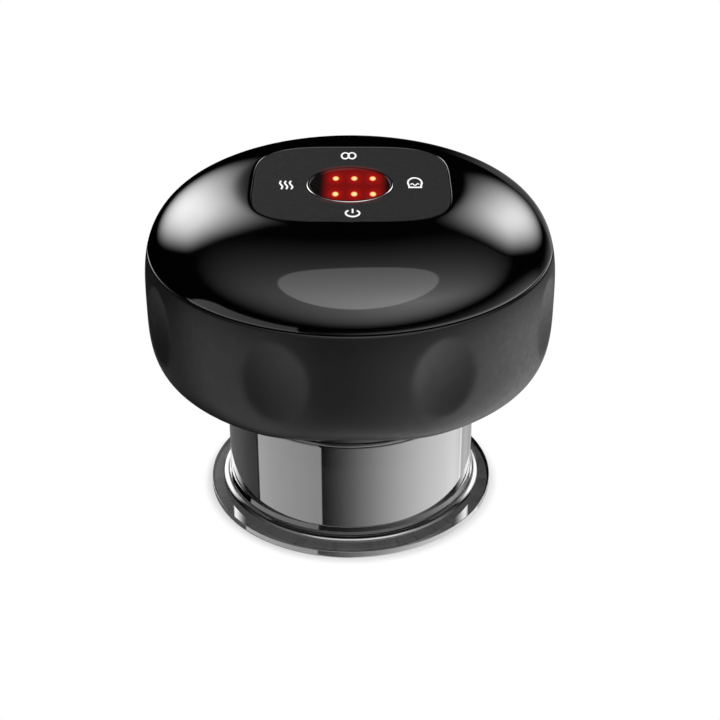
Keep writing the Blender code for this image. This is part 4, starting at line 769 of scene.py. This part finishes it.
def make_panel():
    """Soft square panel in the pocket, with its openings for the window ring and the key skins."""
    work = bmesh.new()
    low = KEYPAD_LOW[2]
    outer = [add_ring(work, panel_ring(0.0, low))]
    for inset, drop in quarter(PANEL_ROUNDING):
        outer.append(add_ring(work, panel_ring(inset, PANEL_TOP - drop)))
    outer.append(add_ring(work, panel_ring(PANEL_ROUNDING + SUPPORT, PANEL_TOP)))
    for first, second in zip(outer, outer[1:]):
        bridge(work, first, second)
    tops, bottoms = [outer[-1]], [outer[0]]
    opening = RING_RADIUS + PANEL_GAP
    rings = [add_ring(work, circle(opening + OPENING_ROUNDING + SUPPORT, PANEL_TOP, OPENING_STEPS))]
    for drop, outward in quarter(OPENING_ROUNDING):
        rings.append(add_ring(work, circle(opening + outward, PANEL_TOP - drop, OPENING_STEPS)))
    rings.append(add_ring(work, circle(opening, low, OPENING_STEPS)))
    for first, second in zip(rings, rings[1:]):
        bridge(work, first, second)
    tops.append(rings[0])
    bottoms.append(rings[-1])
    for name in KEYS:
        centre = plan_centre(name)
        top = add_ring(work, circle(PATCH_RADIUS, PANEL_TOP, PATCH_STEPS, centre))
        bottom = add_ring(work, circle(PATCH_RADIUS, low, PATCH_STEPS, centre))
        bridge(work, top, bottom)
        tops.append(top)
        bottoms.append(bottom)
    fill(work, tops)
    fill(work, bottoms)
    panel = finished("panel_skin", work)
    smoothed(panel.data)
    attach(panel, "housing")
    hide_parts("keypad")
    return panel


def patch_height(reach):
    """Height of a key's skin above the panel at a distance from the key's middle."""
    share = min(reach / PATCH_RADIUS, 1.0)
    return PATCH_CROWN * (0.5 + 0.5 * math.cos(math.pi * share))


def make_key_skins():
    """Slightly raised discs of the panel over the keys, and the posts under them."""
    pieces = []
    for name in KEYS:
        short = name.split("_")[1]
        centre = plan_centre(name)
        rings = [circle(PATCH_RADIUS, PANEL_TOP - PATCH_DEPTH, PATCH_STEPS, centre)]
        for row in range(SMALL_STEPS):
            reach = PATCH_RADIUS * (1 - row / SMALL_STEPS)
            rings.append(circle(reach, PANEL_TOP + patch_height(reach), PATCH_STEPS, centre))
        patch = skin("key_skin_" + short, rings)
        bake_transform(patch)
        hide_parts(name)
        post_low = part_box(name)[0][2]
        post = rod("key_post_" + short, POST_RADIUS, post_low, PANEL_TOP - PATCH_DEPTH - 2 * FIT, centre)
        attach(post, short + "_key")
        pieces += [patch, post]
    return pieces


def stroke(work, path, width, centre, closed=False):
    """Printed line on a key's skin: a path round the key's middle, stretched from front to back."""
    count = len(path)
    rails = []
    for place, (x, y) in enumerate(path):
        before = path[(place - 1) % count] if closed or place else path[0]
        after = path[(place + 1) % count] if closed or place < count - 1 else path[-1]
        ahead = Vector((after[0] - before[0], after[1] - before[1])).normalized()
        side = Vector((-ahead.y, ahead.x)) * width / 2
        section = []
        for sign, lift in ((1, 0.0), (1, ICON_THICKNESS), (-1, ICON_THICKNESS), (-1, 0.0)):
            px, py = x + sign * side.x, (y + sign * side.y) * ICON_STRETCH
            height = PANEL_TOP + patch_height(math.hypot(px, py)) + ICON_LIFT + lift
            section.append(work.verts.new((centre[0] + px, centre[1] + py, height)))
        rails.append(section)
    for place in range(count if closed else count - 1):
        bridge(work, rails[place], rails[(place + 1) % count])
    if not closed:
        work.faces.new(rails[0][::-1])
        work.faces.new(rails[-1])


def arc_path(middle, reach_x, reach_y, start, end):
    """Points along part of an oval, its sizes in millimetres and its angles in degrees."""
    path = []
    for step in range(ARC_PATH_STEPS + 1):
        angle = math.radians(start + (end - start) * step / ARC_PATH_STEPS)
        x, y = middle[0] + reach_x * math.cos(angle), middle[1] + reach_y * math.sin(angle)
        path.append((x * MM, y * MM))
    return path


def power_icon(work, centre):
    """Open ring with a bar."""
    stroke(work, arc_path((0.69, 0.32), 1.5, 0.98, 128, 412), ICON_WIDTH, centre)
    stroke(work, [(0.69 * MM, 1.62 * MM), (0.69 * MM, 0.35 * MM)], ICON_WIDTH, centre)


def mode_icon(work, centre):
    """Two loops side by side."""
    for side in (-0.79, 0.79):
        loop = arc_path((side - 0.38, 0.2), 0.86, 1.02, 0, 360)[:-1]
        stroke(work, loop, ICON_WIDTH, centre, closed=True)


def heat_icon(work, centre):
    """Three rising waves."""
    for shift in (-1.12, 0.0, 1.12):
        path = []
        for step in range(ICON_STEPS + 1):
            share = step / ICON_STEPS
            across = 0.81 + shift + 0.3 * math.sin(math.tau * share) + 0.16 * (0.5 - share)
            path.append((across * MM, (-0.26 + (share - 0.5) * 2.56) * MM))
        stroke(work, path, ICON_WIDTH, centre)


def suction_icon(work, centre):
    """Rounded arch on a base line, with a small wave inside."""
    x, y = -0.475, 0.5
    arch = [((x - 1.25) * MM, (y - 1.5) * MM)] + arc_path((x, y - 0.1), 1.57, 1.6, 205, -25)
    arch.append(((x + 1.25) * MM, (y - 1.5) * MM))
    stroke(work, arch, ICON_WIDTH, centre)
    stroke(work, [((x - 1.55) * MM, (y - 1.5) * MM), ((x + 1.55) * MM, (y - 1.5) * MM)], ICON_WIDTH, centre)
    path = []
    for step in range(ICON_STEPS + 1):
        share = step / ICON_STEPS
        rise = 0.25 * math.sin(1.5 * math.tau * share)
        path.append(((x + (share - 0.5) * 1.9) * MM, (y - 0.65 + rise) * MM))
    stroke(work, path, 0.28 * MM, centre)


def make_icons():
    """Printed marks on the key skins."""
    pieces = []
    drawings = {"power": power_icon, "mode": mode_icon, "heat": heat_icon, "suction": suction_icon}
    for short, draw in drawings.items():
        centre = plan_centre("key_" + short)
        work = bmesh.new()
        draw(work, centre)
        mark = finished("mark_" + short, work)
        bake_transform(mark)
        pieces.append(mark)
    return pieces


# Materials.
def new_material(name):
    """Plain node material, its tree and its shader."""
    material = bpy.data.materials.new(name)
    material.use_nodes = True
    tree = material.node_tree
    return material, tree, tree.nodes["Principled BSDF"]


def noise(tree, size, detail=3.0):
    """Noise in the piece's own space, with features of about the given size."""
    place = tree.nodes.new("ShaderNodeTexCoord")
    texture = tree.nodes.new("ShaderNodeTexNoise")
    texture.inputs["Scale"].default_value = 1 / size
    texture.inputs["Detail"].default_value = detail
    texture.inputs["Roughness"].default_value = 0.5
    tree.links.new(place.outputs["Object"], texture.inputs["Vector"])
    return texture.outputs["Fac"]


def ranged(tree, source, low, high):
    """The source's middle range spread between two values."""
    spread = tree.nodes.new("ShaderNodeMapRange")
    spread.inputs["From Min"].default_value = 0.3
    spread.inputs["From Max"].default_value = 0.7
    spread.inputs["To Min"].default_value = low
    spread.inputs["To Max"].default_value = high
    tree.links.new(source, spread.inputs["Value"])
    return spread.outputs["Result"]


def tinted(tree, source, dark, light):
    """Colour between two tones."""
    mix = tree.nodes.new("ShaderNodeMix")
    mix.data_type = "RGBA"
    mix.inputs[6].default_value = (*dark, 1.0)
    mix.inputs[7].default_value = (*light, 1.0)
    tree.links.new(ranged(tree, source, 0.0, 1.0), mix.inputs[0])
    return mix.outputs[2]


def maths(tree, operation, *values):
    """Result of one arithmetic step on sockets or numbers."""
    node = tree.nodes.new("ShaderNodeMath")
    node.operation = operation
    for socket, value in zip(node.inputs, values):
        if isinstance(value, (int, float)):
            socket.default_value = value
        else:
            tree.links.new(value, socket)
    return node.outputs["Value"]


def distance(tree, across, along):
    """Length of the step with the two given parts."""
    squares = [maths(tree, "MULTIPLY", part, part) for part in (across, along)]
    return maths(tree, "SQRT", maths(tree, "ADD", *squares))


def fade(tree, value, low, high, start=1.0, end=0.0, curve="SMOOTHSTEP"):
    """Value that passes from start to end between two limits of another."""
    node = tree.nodes.new("ShaderNodeMapRange")
    node.interpolation_type = curve
    node.inputs["From Min"].default_value = low
    node.inputs["From Max"].default_value = high
    node.inputs["To Min"].default_value = start
    node.inputs["To Max"].default_value = end
    tree.links.new(value, node.inputs["Value"])
    return node.outputs["Result"]


def place_axes(tree, kind="Object"):
    """The three coordinates of the shaded place."""
    place = tree.nodes.new("ShaderNodeTexCoord")
    split = tree.nodes.new("ShaderNodeSeparateXYZ")
    tree.links.new(place.outputs[kind], split.inputs["Vector"])
    return split.outputs["X"], split.outputs["Y"], split.outputs["Z"]


def bumped(tree, shader, source, depth, chain=None):
    """Surface relief of the given depth."""
    relief = tree.nodes.new("ShaderNodeBump")
    relief.inputs["Strength"].default_value = 1.0
    relief.inputs["Distance"].default_value = depth
    tree.links.new(source, relief.inputs["Height"])
    if chain:
        tree.links.new(chain, relief.inputs["Normal"])
    tree.links.new(relief.outputs["Normal"], shader.inputs["Normal"])
    return relief.outputs["Normal"]


def finish_material(name, colour, spread, roughness, grain, depth, metallic=0.0, wave=0.0):
    """Moulded or worked surface: colour drift, uneven gloss, fine grain, and slow waves if any."""
    material, tree, shader = new_material(name)
    dark = [value * (1 - spread) for value in colour]
    light = [value * (1 + spread) for value in colour]
    drift = noise(tree, DRIFT_SIZE)
    tree.links.new(tinted(tree, drift, dark, light), shader.inputs["Base Color"])
    fine = noise(tree, grain, 4.0)
    uneven = ranged(tree, noise(tree, DRIFT_SIZE / 3), *roughness)
    tree.links.new(uneven, shader.inputs["Roughness"])
    shader.inputs["Metallic"].default_value = metallic
    chain = None
    if wave:
        chain = bumped(tree, shader, noise(tree, WAVE_SIZE, 1.0), wave)
    bumped(tree, shader, fine, depth, chain=chain)
    return material, tree, shader


def gloss_black_look():
    """Polished black moulding with a faint waviness and fine handling marks."""
    material, _, shader = finish_material(
        "polished_black", (0.0009, 0.0009, 0.001), 0.15, (0.03, 0.06), 0.12 * MM, 0.0004 * MM,
        wave=0.0012 * MM)
    shader.inputs["IOR"].default_value = 1.7
    return material


def charcoal_look():
    """Matt lacquer with a fine even grain, smooth along the grip's rim."""
    material, tree, shader = finish_material(
        "matt_charcoal", (0.0048, 0.0048, 0.005), 0.1, (0.38, 0.46), 0.16 * MM, 0.012 * MM)
    shader.inputs["Specular IOR Level"].default_value = 0.34
    z = place_axes(tree)[2]
    smooth = fade(tree, z, RIM_TOP - 0.35 * MM, RIM_TOP - 0.25 * MM, 0.0, 1.0)
    matt = ranged(tree, noise(tree, 1.3 * MM), 0.38, 0.46)
    drop = maths(tree, "MULTIPLY", smooth, maths(tree, "SUBTRACT", matt, 0.15))
    tree.links.new(maths(tree, "SUBTRACT", matt, drop), shader.inputs["Roughness"])
    return material


def neck_look():
    """Smooth moulding of the neck, glossier than the grip."""
    material, _, shader = finish_material(
        "neck_moulding", (0.004, 0.004, 0.0042), 0.1, (0.1, 0.16), 0.16 * MM, 0.001 * MM)
    shader.inputs["IOR"].default_value = 2.0
    return material


def panel_look():
    """Soft matt silicone with a fine grain, and a faint painted red glow of the window's light spilling
    before and behind its ring.
    """
    material, tree, shader = finish_material(
        "panel_silicone", (0.008, 0.008, 0.0082), 0.08, (0.65, 0.75), 0.14 * MM, 0.008 * MM)
    shader.inputs["Specular IOR Level"].default_value = 0.15
    x, y = place_axes(tree)[:2]
    near = fade(tree, distance(tree, x, y), RING_RADIUS, RING_RADIUS + SPILL_REACH)
    ends = fade(tree, maths(tree, "ABSOLUTE", y), *SPILL_ENDS, 0.0, 1.0)
    spill = maths(tree, "MULTIPLY", near, ends)
    # Painted light: red glow on the panel near the window's ring, before and behind it, for the window's
    # light spilling there.
    shader.inputs["Emission Color"].default_value = (1.0, 0.03, 0.02, 1.0)
    tree.links.new(maths(tree, "MULTIPLY", spill, 0.09), shader.inputs["Emission Strength"])
    return material


def print_and_glow_look():
    """White printed ink, a little uneven, with a faint painted white glow on top."""
    material, _, shader = finish_material(
        "white_print_and_glow", (0.82, 0.82, 0.83), 0.04, (0.45, 0.6), 0.1 * MM, 0.004 * MM)
    # Painted glow: the ink gives off a little white light of its own, which makes it brighter than its lit
    # colour.
    shader.inputs["Emission Color"].default_value = (1.0, 1.0, 1.0, 1.0)
    shader.inputs["Emission Strength"].default_value = 0.25
    return material


def smoke_look():
    """Smoke-tinted clear plastic with faint flow marks."""
    material, tree, shader = new_material("smoke_plastic")
    drift = noise(tree, 5 * MM)
    tint = tinted(tree, drift, (0.02, 0.02, 0.0205), (0.027, 0.027, 0.0275))
    tree.links.new(tint, shader.inputs["Base Color"])
    tree.links.new(ranged(tree, noise(tree, 2 * MM), 0.03, 0.07), shader.inputs["Roughness"])
    shader.inputs["Transmission Weight"].default_value = 0.85
    shader.inputs["IOR"].default_value = 1.5
    shader.inputs["Coat Weight"].default_value = 1.0
    shader.inputs["Coat IOR"].default_value = 2.6
    shader.inputs["Coat Roughness"].default_value = 0.02
    bumped(tree, shader, noise(tree, 5 * MM, 1.0), 0.002 * MM)
    return material


def window_look():
    """Dark lens with the light of the display behind it painted on its face as glow: six warm dots in a
    deep red field.
    """
    material, tree, shader = new_material("lit_window")
    x, y = place_axes(tree)[:2]
    shifted = maths(tree, "ABSOLUTE", maths(tree, "SUBTRACT", x, DOT_SHIFT_X))
    lowered = maths(tree, "ABSOLUTE", maths(tree, "SUBTRACT", y, DOT_SHIFT_Y))
    beside = maths(tree, "ABSOLUTE", maths(tree, "SUBTRACT", shifted, DOT_PITCH_X))
    across = maths(tree, "MINIMUM", shifted, beside)
    along = maths(tree, "SUBTRACT", lowered, DOT_PITCH_Y / 2)
    reach = distance(tree, across, maths(tree, "DIVIDE", along, DOT_STRETCH))
    core = fade(tree, reach, *DOT_CORE)
    halo = fade(tree, reach, *DOT_HALO)
    field = fade(tree, shifted, *FIELD_EDGE)
    # Painted glow: the dots' cores and halos and the red field are emission on the lens's face, standing in
    # for the display's lights behind it.
    dots = tree.nodes.new("ShaderNodeMix")
    dots.data_type = "RGBA"
    dots.inputs[6].default_value = (0.62, 0.006, 0.004, 1.0)
    dots.inputs[7].default_value = (1.0, 0.5, 0.2, 1.0)
    tree.links.new(core, dots.inputs[0])
    tree.links.new(dots.outputs[2], shader.inputs["Emission Color"])
    glow = maths(tree, "MULTIPLY_ADD", halo, 0.24, maths(tree, "MULTIPLY", field, 0.3))
    tree.links.new(maths(tree, "MULTIPLY_ADD", core, 1.3, glow), shader.inputs["Emission Strength"])
    tint = tinted(tree, noise(tree, 3 * MM), (0.006, 0.004, 0.004), (0.009, 0.006, 0.006))
    tree.links.new(tint, shader.inputs["Base Color"])
    tree.links.new(ranged(tree, noise(tree, 1.5 * MM), 0.05, 0.09), shader.inputs["Roughness"])
    shader.inputs["Specular IOR Level"].default_value = 0.2
    bumped(tree, shader, noise(tree, 0.2 * MM), 0.0006 * MM)
    return material


def bright_look():
    """Polished plated ring."""
    material, _, _ = finish_material(
        "plated_ring", (0.5, 0.5, 0.51), 0.03, (0.08, 0.16), 0.3 * MM, 0.001 * MM, metallic=1.0)
    return material


LOOKS = {
    "frame_plastic": ((0.45, 0.45, 0.43), 0.05, (0.4, 0.55), 0.3 * MM, 0.01 * MM, 0.0),
    "seal_rubber": ((0.012, 0.012, 0.012), 0.15, (0.6, 0.75), 0.2 * MM, 0.01 * MM, 0.0),
    "hose_silicone": ((0.62, 0.62, 0.58), 0.05, (0.3, 0.42), 0.4 * MM, 0.006 * MM, 0.0),
    "board_green": ((0.02, 0.14, 0.06), 0.25, (0.22, 0.4), 0.5 * MM, 0.01 * MM, 0.0),
    "chip_black": ((0.018, 0.018, 0.019), 0.2, (0.4, 0.55), 0.15 * MM, 0.006 * MM, 0.0),
    "led_red": ((0.75, 0.05, 0.03), 0.1, (0.1, 0.2), 0.3 * MM, 0.002 * MM, 0.0),
    "steel": ((0.62, 0.62, 0.62), 0.06, (0.18, 0.32), 0.2 * MM, 0.003 * MM, 1.0),
    "motor_can": ((0.6, 0.6, 0.61), 0.08, (0.28, 0.42), 0.4 * MM, 0.006 * MM, 1.0),
    "brass": ((0.78, 0.58, 0.24), 0.08, (0.2, 0.35), 0.2 * MM, 0.003 * MM, 1.0),
    "cell_wrap": ((0.04, 0.16, 0.42), 0.08, (0.25, 0.38), 1.0 * MM, 0.01 * MM, 0.0),
    "filter_foam": ((0.16, 0.16, 0.16), 0.3, (0.85, 0.95), 0.3 * MM, 0.12 * MM, 0.0),
    "heater_amber": ((0.6, 0.3, 0.06), 0.1, (0.2, 0.35), 0.5 * MM, 0.005 * MM, 0.0),
    "lead_red": ((0.55, 0.03, 0.03), 0.08, (0.35, 0.5), 0.3 * MM, 0.006 * MM, 0.0),
    "lead_white": ((0.75, 0.75, 0.74), 0.05, (0.35, 0.5), 0.3 * MM, 0.006 * MM, 0.0),
}


def build_looks():
    """One material for each finish of the record."""
    looks = {}
    for slot_name, (colour, spread, roughness, grain, depth, metallic) in LOOKS.items():
        looks[slot_name] = finish_material(slot_name, colour, spread, roughness, grain, depth, metallic)[0]
    looks["gloss_black"] = gloss_black_look()
    looks["matt_charcoal"] = charcoal_look()
    looks["soft_panel"] = panel_look()
    looks["smoke_clear"] = smoke_look()
    looks["window_smoke"] = window_look()
    looks["bright_ring"] = bright_look()
    return looks


def paint(piece, material):
    """Gives a piece one material."""
    if piece.material_slots:
        for entry in piece.material_slots:
            entry.link = "OBJECT"
            entry.material = material
    else:
        piece.data.materials.append(material)


# Lights.
def toward(azimuth, elevation, reach):
    """Point in a direction from the object: azimuth 0 is the front, positive to the right."""
    az, el = math.radians(azimuth), math.radians(elevation)
    ahead = Vector((math.sin(az) * math.cos(el), -math.cos(az) * math.cos(el), math.sin(el)))
    return AIM + reach * ahead


def glowing(name, outline):
    """Sheet that only lights, with its node tree and the shader that glows."""
    mesh = bpy.data.meshes.new(name)
    mesh.from_pydata([(x, y, 0.0) for x, y in outline], [], [tuple(range(len(outline)))])
    piece = linked(name, mesh)
    piece.visible_camera = False
    piece.visible_transmission = False
    material = bpy.data.materials.new(name)
    material.use_nodes = True
    tree = material.node_tree
    tree.nodes.clear()
    output = tree.nodes.new("ShaderNodeOutputMaterial")
    glow = tree.nodes.new("ShaderNodeEmission")
    tree.links.new(glow.outputs["Emission"], output.inputs["Surface"])
    piece.data.materials.append(material)
    return piece, tree, glow


def side_card(name, centre, left, right, top, bottom, radiance, core, lean):
    """Upright soft oval facing the object, full within its core and fading out to its edge."""
    outline = []
    for step in range(SMALL_STEPS * 4):
        angle = math.tau * step / (SMALL_STEPS * 4)
        y = math.sin(angle) * (top if math.sin(angle) > 0 else bottom)
        half_x = right if math.cos(angle) > 0 else left
        outline.append((half_x * math.cos(angle) - lean * y, y))
    piece, tree, glow = glowing(name, outline)
    aim = (AIM - centre).normalized()
    piece.matrix_world = Matrix.Translation(centre) @ aim.to_track_quat("Z", "Y").to_matrix().to_4x4()
    x, y = place_axes(tree)[:2]
    across = maths(tree, "MULTIPLY_ADD", y, lean, x)
    across = maths(tree, "MAXIMUM", maths(tree, "DIVIDE", across, right),
                   maths(tree, "DIVIDE", across, -left))
    along = maths(tree, "MAXIMUM", maths(tree, "DIVIDE", y, top), maths(tree, "DIVIDE", y, -bottom))
    reach = distance(tree, across, along)
    tree.links.new(fade(tree, reach, core, 1.0, radiance, 0.0), glow.inputs["Strength"])


def sheet_above():
    """Wide soft glow overhead with a brighter round lamp in it, both strongest towards the front."""
    left, right, front, back = -3.15, 4.75, -5.15, 1.05
    middle_x, middle_y, peak = 0.75, -0.75, 1.8
    outline = [(left, front), (right, front), (right, back), (left, back)]
    piece, tree, glow = glowing("sheet_above", outline)
    piece.location = (0.0, 0.0, 1.0)
    x, y = place_axes(tree)[:2]

    def spread(value, middle, low, high):
        """Share of the way from the middle to whichever edge lies on the value's side."""
        step = maths(tree, "SUBTRACT", value, middle)
        return maths(tree, "MAXIMUM", maths(tree, "DIVIDE", step, high - middle),
                     maths(tree, "DIVIDE", step, low - middle))

    reach = distance(tree, spread(x, middle_x, left, right), spread(y, middle_y, front, back))
    rest = maths(tree, "MAXIMUM", maths(tree, "SUBTRACT", 1.0, reach), 0.0)
    wide = maths(tree, "MULTIPLY", maths(tree, "MULTIPLY", rest, rest), peak)
    lamp_x, lamp_y, lamp_half_x, lamp_half_y = 0.079, -0.425, 0.606, 0.664
    disc = distance(tree, spread(x, lamp_x, lamp_x - lamp_half_x, lamp_x + lamp_half_x),
                    spread(y, lamp_y, lamp_y - lamp_half_y, lamp_y + lamp_half_y))
    level = maths(tree, "MULTIPLY_ADD", y, -0.58, 0.9)
    lamp = maths(tree, "MULTIPLY", fade(tree, disc, 0.97, 1.0), level)
    tree.links.new(maths(tree, "ADD", wide, lamp), glow.inputs["Strength"])


def make_lights():
    """Two big soft ovals behind, and the sheet above."""
    side_card("card_left", toward(-148.3, 26.4, 1.0), 0.535, 0.46, 0.33, 0.65, 5.57, 0.078, 0.031)
    side_card("card_right", toward(144.3, 27.9, 1.0), 0.47, 0.496, 0.302, 0.633, 5.51, 0.0, 0.049)
    sheet_above()


def seen_rays(tree):
    """Light path node, and a value that is 1 for rays from the camera or through clear plastic."""
    path = tree.nodes.new("ShaderNodeLightPath")
    seen = maths(tree, "MAXIMUM", path.outputs["Is Camera Ray"], path.outputs["Is Transmission Ray"])
    return path, seen


def make_floor():
    """White floor that keeps a soft shadow round the object and runs out into the plain background."""
    mesh = bpy.data.meshes.new("floor")
    corners = [(x * FLOOR_HALF, y * FLOOR_HALF, 0) for x, y in ((-1, -1), (1, -1), (1, 1), (-1, 1))]
    mesh.from_pydata(corners, [], [(0, 1, 2, 3)])
    floor = linked("floor", mesh)
    floor.visible_glossy = False
    material, tree, shader = new_material("floor_white")
    shader.inputs["Base Color"].default_value = (0.88, 0.88, 0.88, 1.0)
    shader.inputs["Roughness"].default_value = 0.9
    shader.inputs["Specular IOR Level"].default_value = 0.0
    plain = tree.nodes.new("ShaderNodeEmission")
    plain.inputs["Strength"].default_value = 1.0
    x, y = place_axes(tree)[:2]
    share = fade(tree, distance(tree, x, y), *SHADOW_EDGE, SHADOW_SHARE, 1.0)
    _, seen = seen_rays(tree)
    mix = tree.nodes.new("ShaderNodeMixShader")
    tree.links.new(maths(tree, "MULTIPLY", share, seen), mix.inputs["Fac"])
    tree.links.new(shader.outputs["BSDF"], mix.inputs[1])
    tree.links.new(plain.outputs["Emission"], mix.inputs[2])
    tree.links.new(mix.outputs["Shader"], tree.nodes["Material Output"].inputs["Surface"])
    floor.data.materials.append(material)


def make_world():
    """Surroundings: white to seen rays, dim to the object, and low side panels in its gloss."""
    world = bpy.data.worlds.new("surroundings")
    bpy.context.scene.world = world
    world.use_nodes = True
    world.cycles.sampling_method = "NONE"
    tree = world.node_tree
    tree.nodes.clear()
    x, y, z = place_axes(tree, "Generated")
    azimuth = maths(tree, "ARCTAN2", x, maths(tree, "MULTIPLY", y, -1.0))
    elevation = maths(tree, "ARCSINE", z)

    def turned_by(*limits, curve="SMOOTHSTEP", of=azimuth):
        """Fade between two angles in degrees, with its two values."""
        low, high, start, end = limits
        return fade(tree, of, math.radians(low), math.radians(high), start, end, curve)

    def times(*values):
        """Product of several values."""
        product = values[0]
        for value in values[1:]:
            product = maths(tree, "MULTIPLY", product, value)
        return product

    def beyond(angle, factor):
        """How far the azimuth is past an angle, leftwards for a negative factor, squared and scaled."""
        past = maths(tree, "SUBTRACT", azimuth, math.radians(angle))
        past = maths(tree, "MULTIPLY", past, math.copysign(1.0, factor))
        past = maths(tree, "MAXIMUM", past, 0.0)
        return maths(tree, "MINIMUM", times(past, past, abs(factor)), 0.3)

    sunk_left = maths(tree, "ADD", elevation, beyond(-72, -1.69))
    sunk_right = maths(tree, "ADD", elevation, beyond(92, 0.86))
    block = times(turned_by(-97, -96, 0.0, 1.0), turned_by(-27.5, -26.5, 1.0, 0.0),
                  turned_by(7, 9, 1.0, 0.0, of=sunk_left), turned_by(-22, -8, 1.1, 0.6, of=elevation),
                  turned_by(-97, -27, 1.1, 0.85, curve="LINEAR"))
    ramp = times(turned_by(-33, 92, 0.0, 1.95), turned_by(129.5, 131, 1.0, 0.64),
                 turned_by(138, 156, 1.0, 0.6), turned_by(-31, 11, 1.0, 0.0, of=sunk_right))
    line = times(turned_by(125.5, 127, 0.0, 0.35), turned_by(129.5, 131, 1.0, 0.0),
                 turned_by(-30, -12, 1.0, 0.0, of=elevation))
    far = times(turned_by(-100, -97, 1.0, 0.0), turned_by(-130, -100, 0.17, 0.11),
                turned_by(-30, -26, 1.0, 0.0, of=elevation), turned_by(-42, -38, 0.0, 1.0, of=elevation),
                turned_by(-178, -165, 0.0, 1.0))
    strip = times(turned_by(148, 154, 0.0, 0.13), turned_by(166, 174, 1.0, 0.0),
                  turned_by(2, 4, 1.0, 0.0, of=elevation), turned_by(-22, -18, 0.0, 1.0, of=elevation))
    panels = block
    for part in (ramp, line, far, strip):
        panels = maths(tree, "ADD", panels, part)
    path, seen = seen_rays(tree)
    glossy = maths(tree, "MULTIPLY", panels, path.outputs["Is Glossy Ray"])
    soft = maths(tree, "MULTIPLY", path.outputs["Is Diffuse Ray"], 0.08)
    level = maths(tree, "ADD", maths(tree, "ADD", seen, glossy), soft)
    background = tree.nodes.new("ShaderNodeBackground")
    tree.links.new(maths(tree, "MINIMUM", level, 3.0), background.inputs["Strength"])
    background.inputs["Color"].default_value = (1.0, 1.0, 1.0, 1.0)
    output = tree.nodes.new("ShaderNodeOutputWorld")
    tree.links.new(background.outputs["Background"], output.inputs["Surface"])


def make_camera():
    """Camera at the photograph's place and angle."""
    data = bpy.data.cameras.new("camera")
    data.sensor_width = SENSOR
    data.lens = SENSOR * FOCAL_PIXELS / PX
    data.clip_start = 0.01
    camera = bpy.data.objects.new("camera", data)
    camera.location = CAMERA_PLACE
    camera.rotation_euler = (math.pi / 2 - CAMERA_DIP, 0.0, 0.0)
    bpy.context.collection.objects.link(camera)
    bpy.context.scene.camera = camera


make_camera()
looks = build_looks()
for entry in frame["record"]["subparts"]:
    paint(frame["nodes"][entry["node"]], looks[entry["material_slot"]])
paint(make_cover(), looks["gloss_black"])
paint(make_grip(), looks["matt_charcoal"])
paint(make_cup(), looks["smoke_clear"])
head, seal = make_head()
paint(head, neck_look())
paint(seal, looks["seal_rubber"])
paint(make_warm_plate(), looks["steel"])
paint(make_spring(), looks["steel"])
paint(make_gasket(), looks["seal_rubber"])
lens, ring = make_window()
paint(lens, looks["window_smoke"])
paint(ring, looks["bright_ring"])
shell, tongue = make_port()
paint(shell, looks["steel"])
paint(tongue, looks["chip_black"])
paint(make_panel(), looks["soft_panel"])
for piece in make_key_skins():
    paint(piece, looks["soft_panel"])
ink = print_and_glow_look()
for piece in make_icons():
    paint(piece, ink)
make_lights()
make_floor()
make_world()
bpy.context.scene.view_settings.view_transform = "Standard"
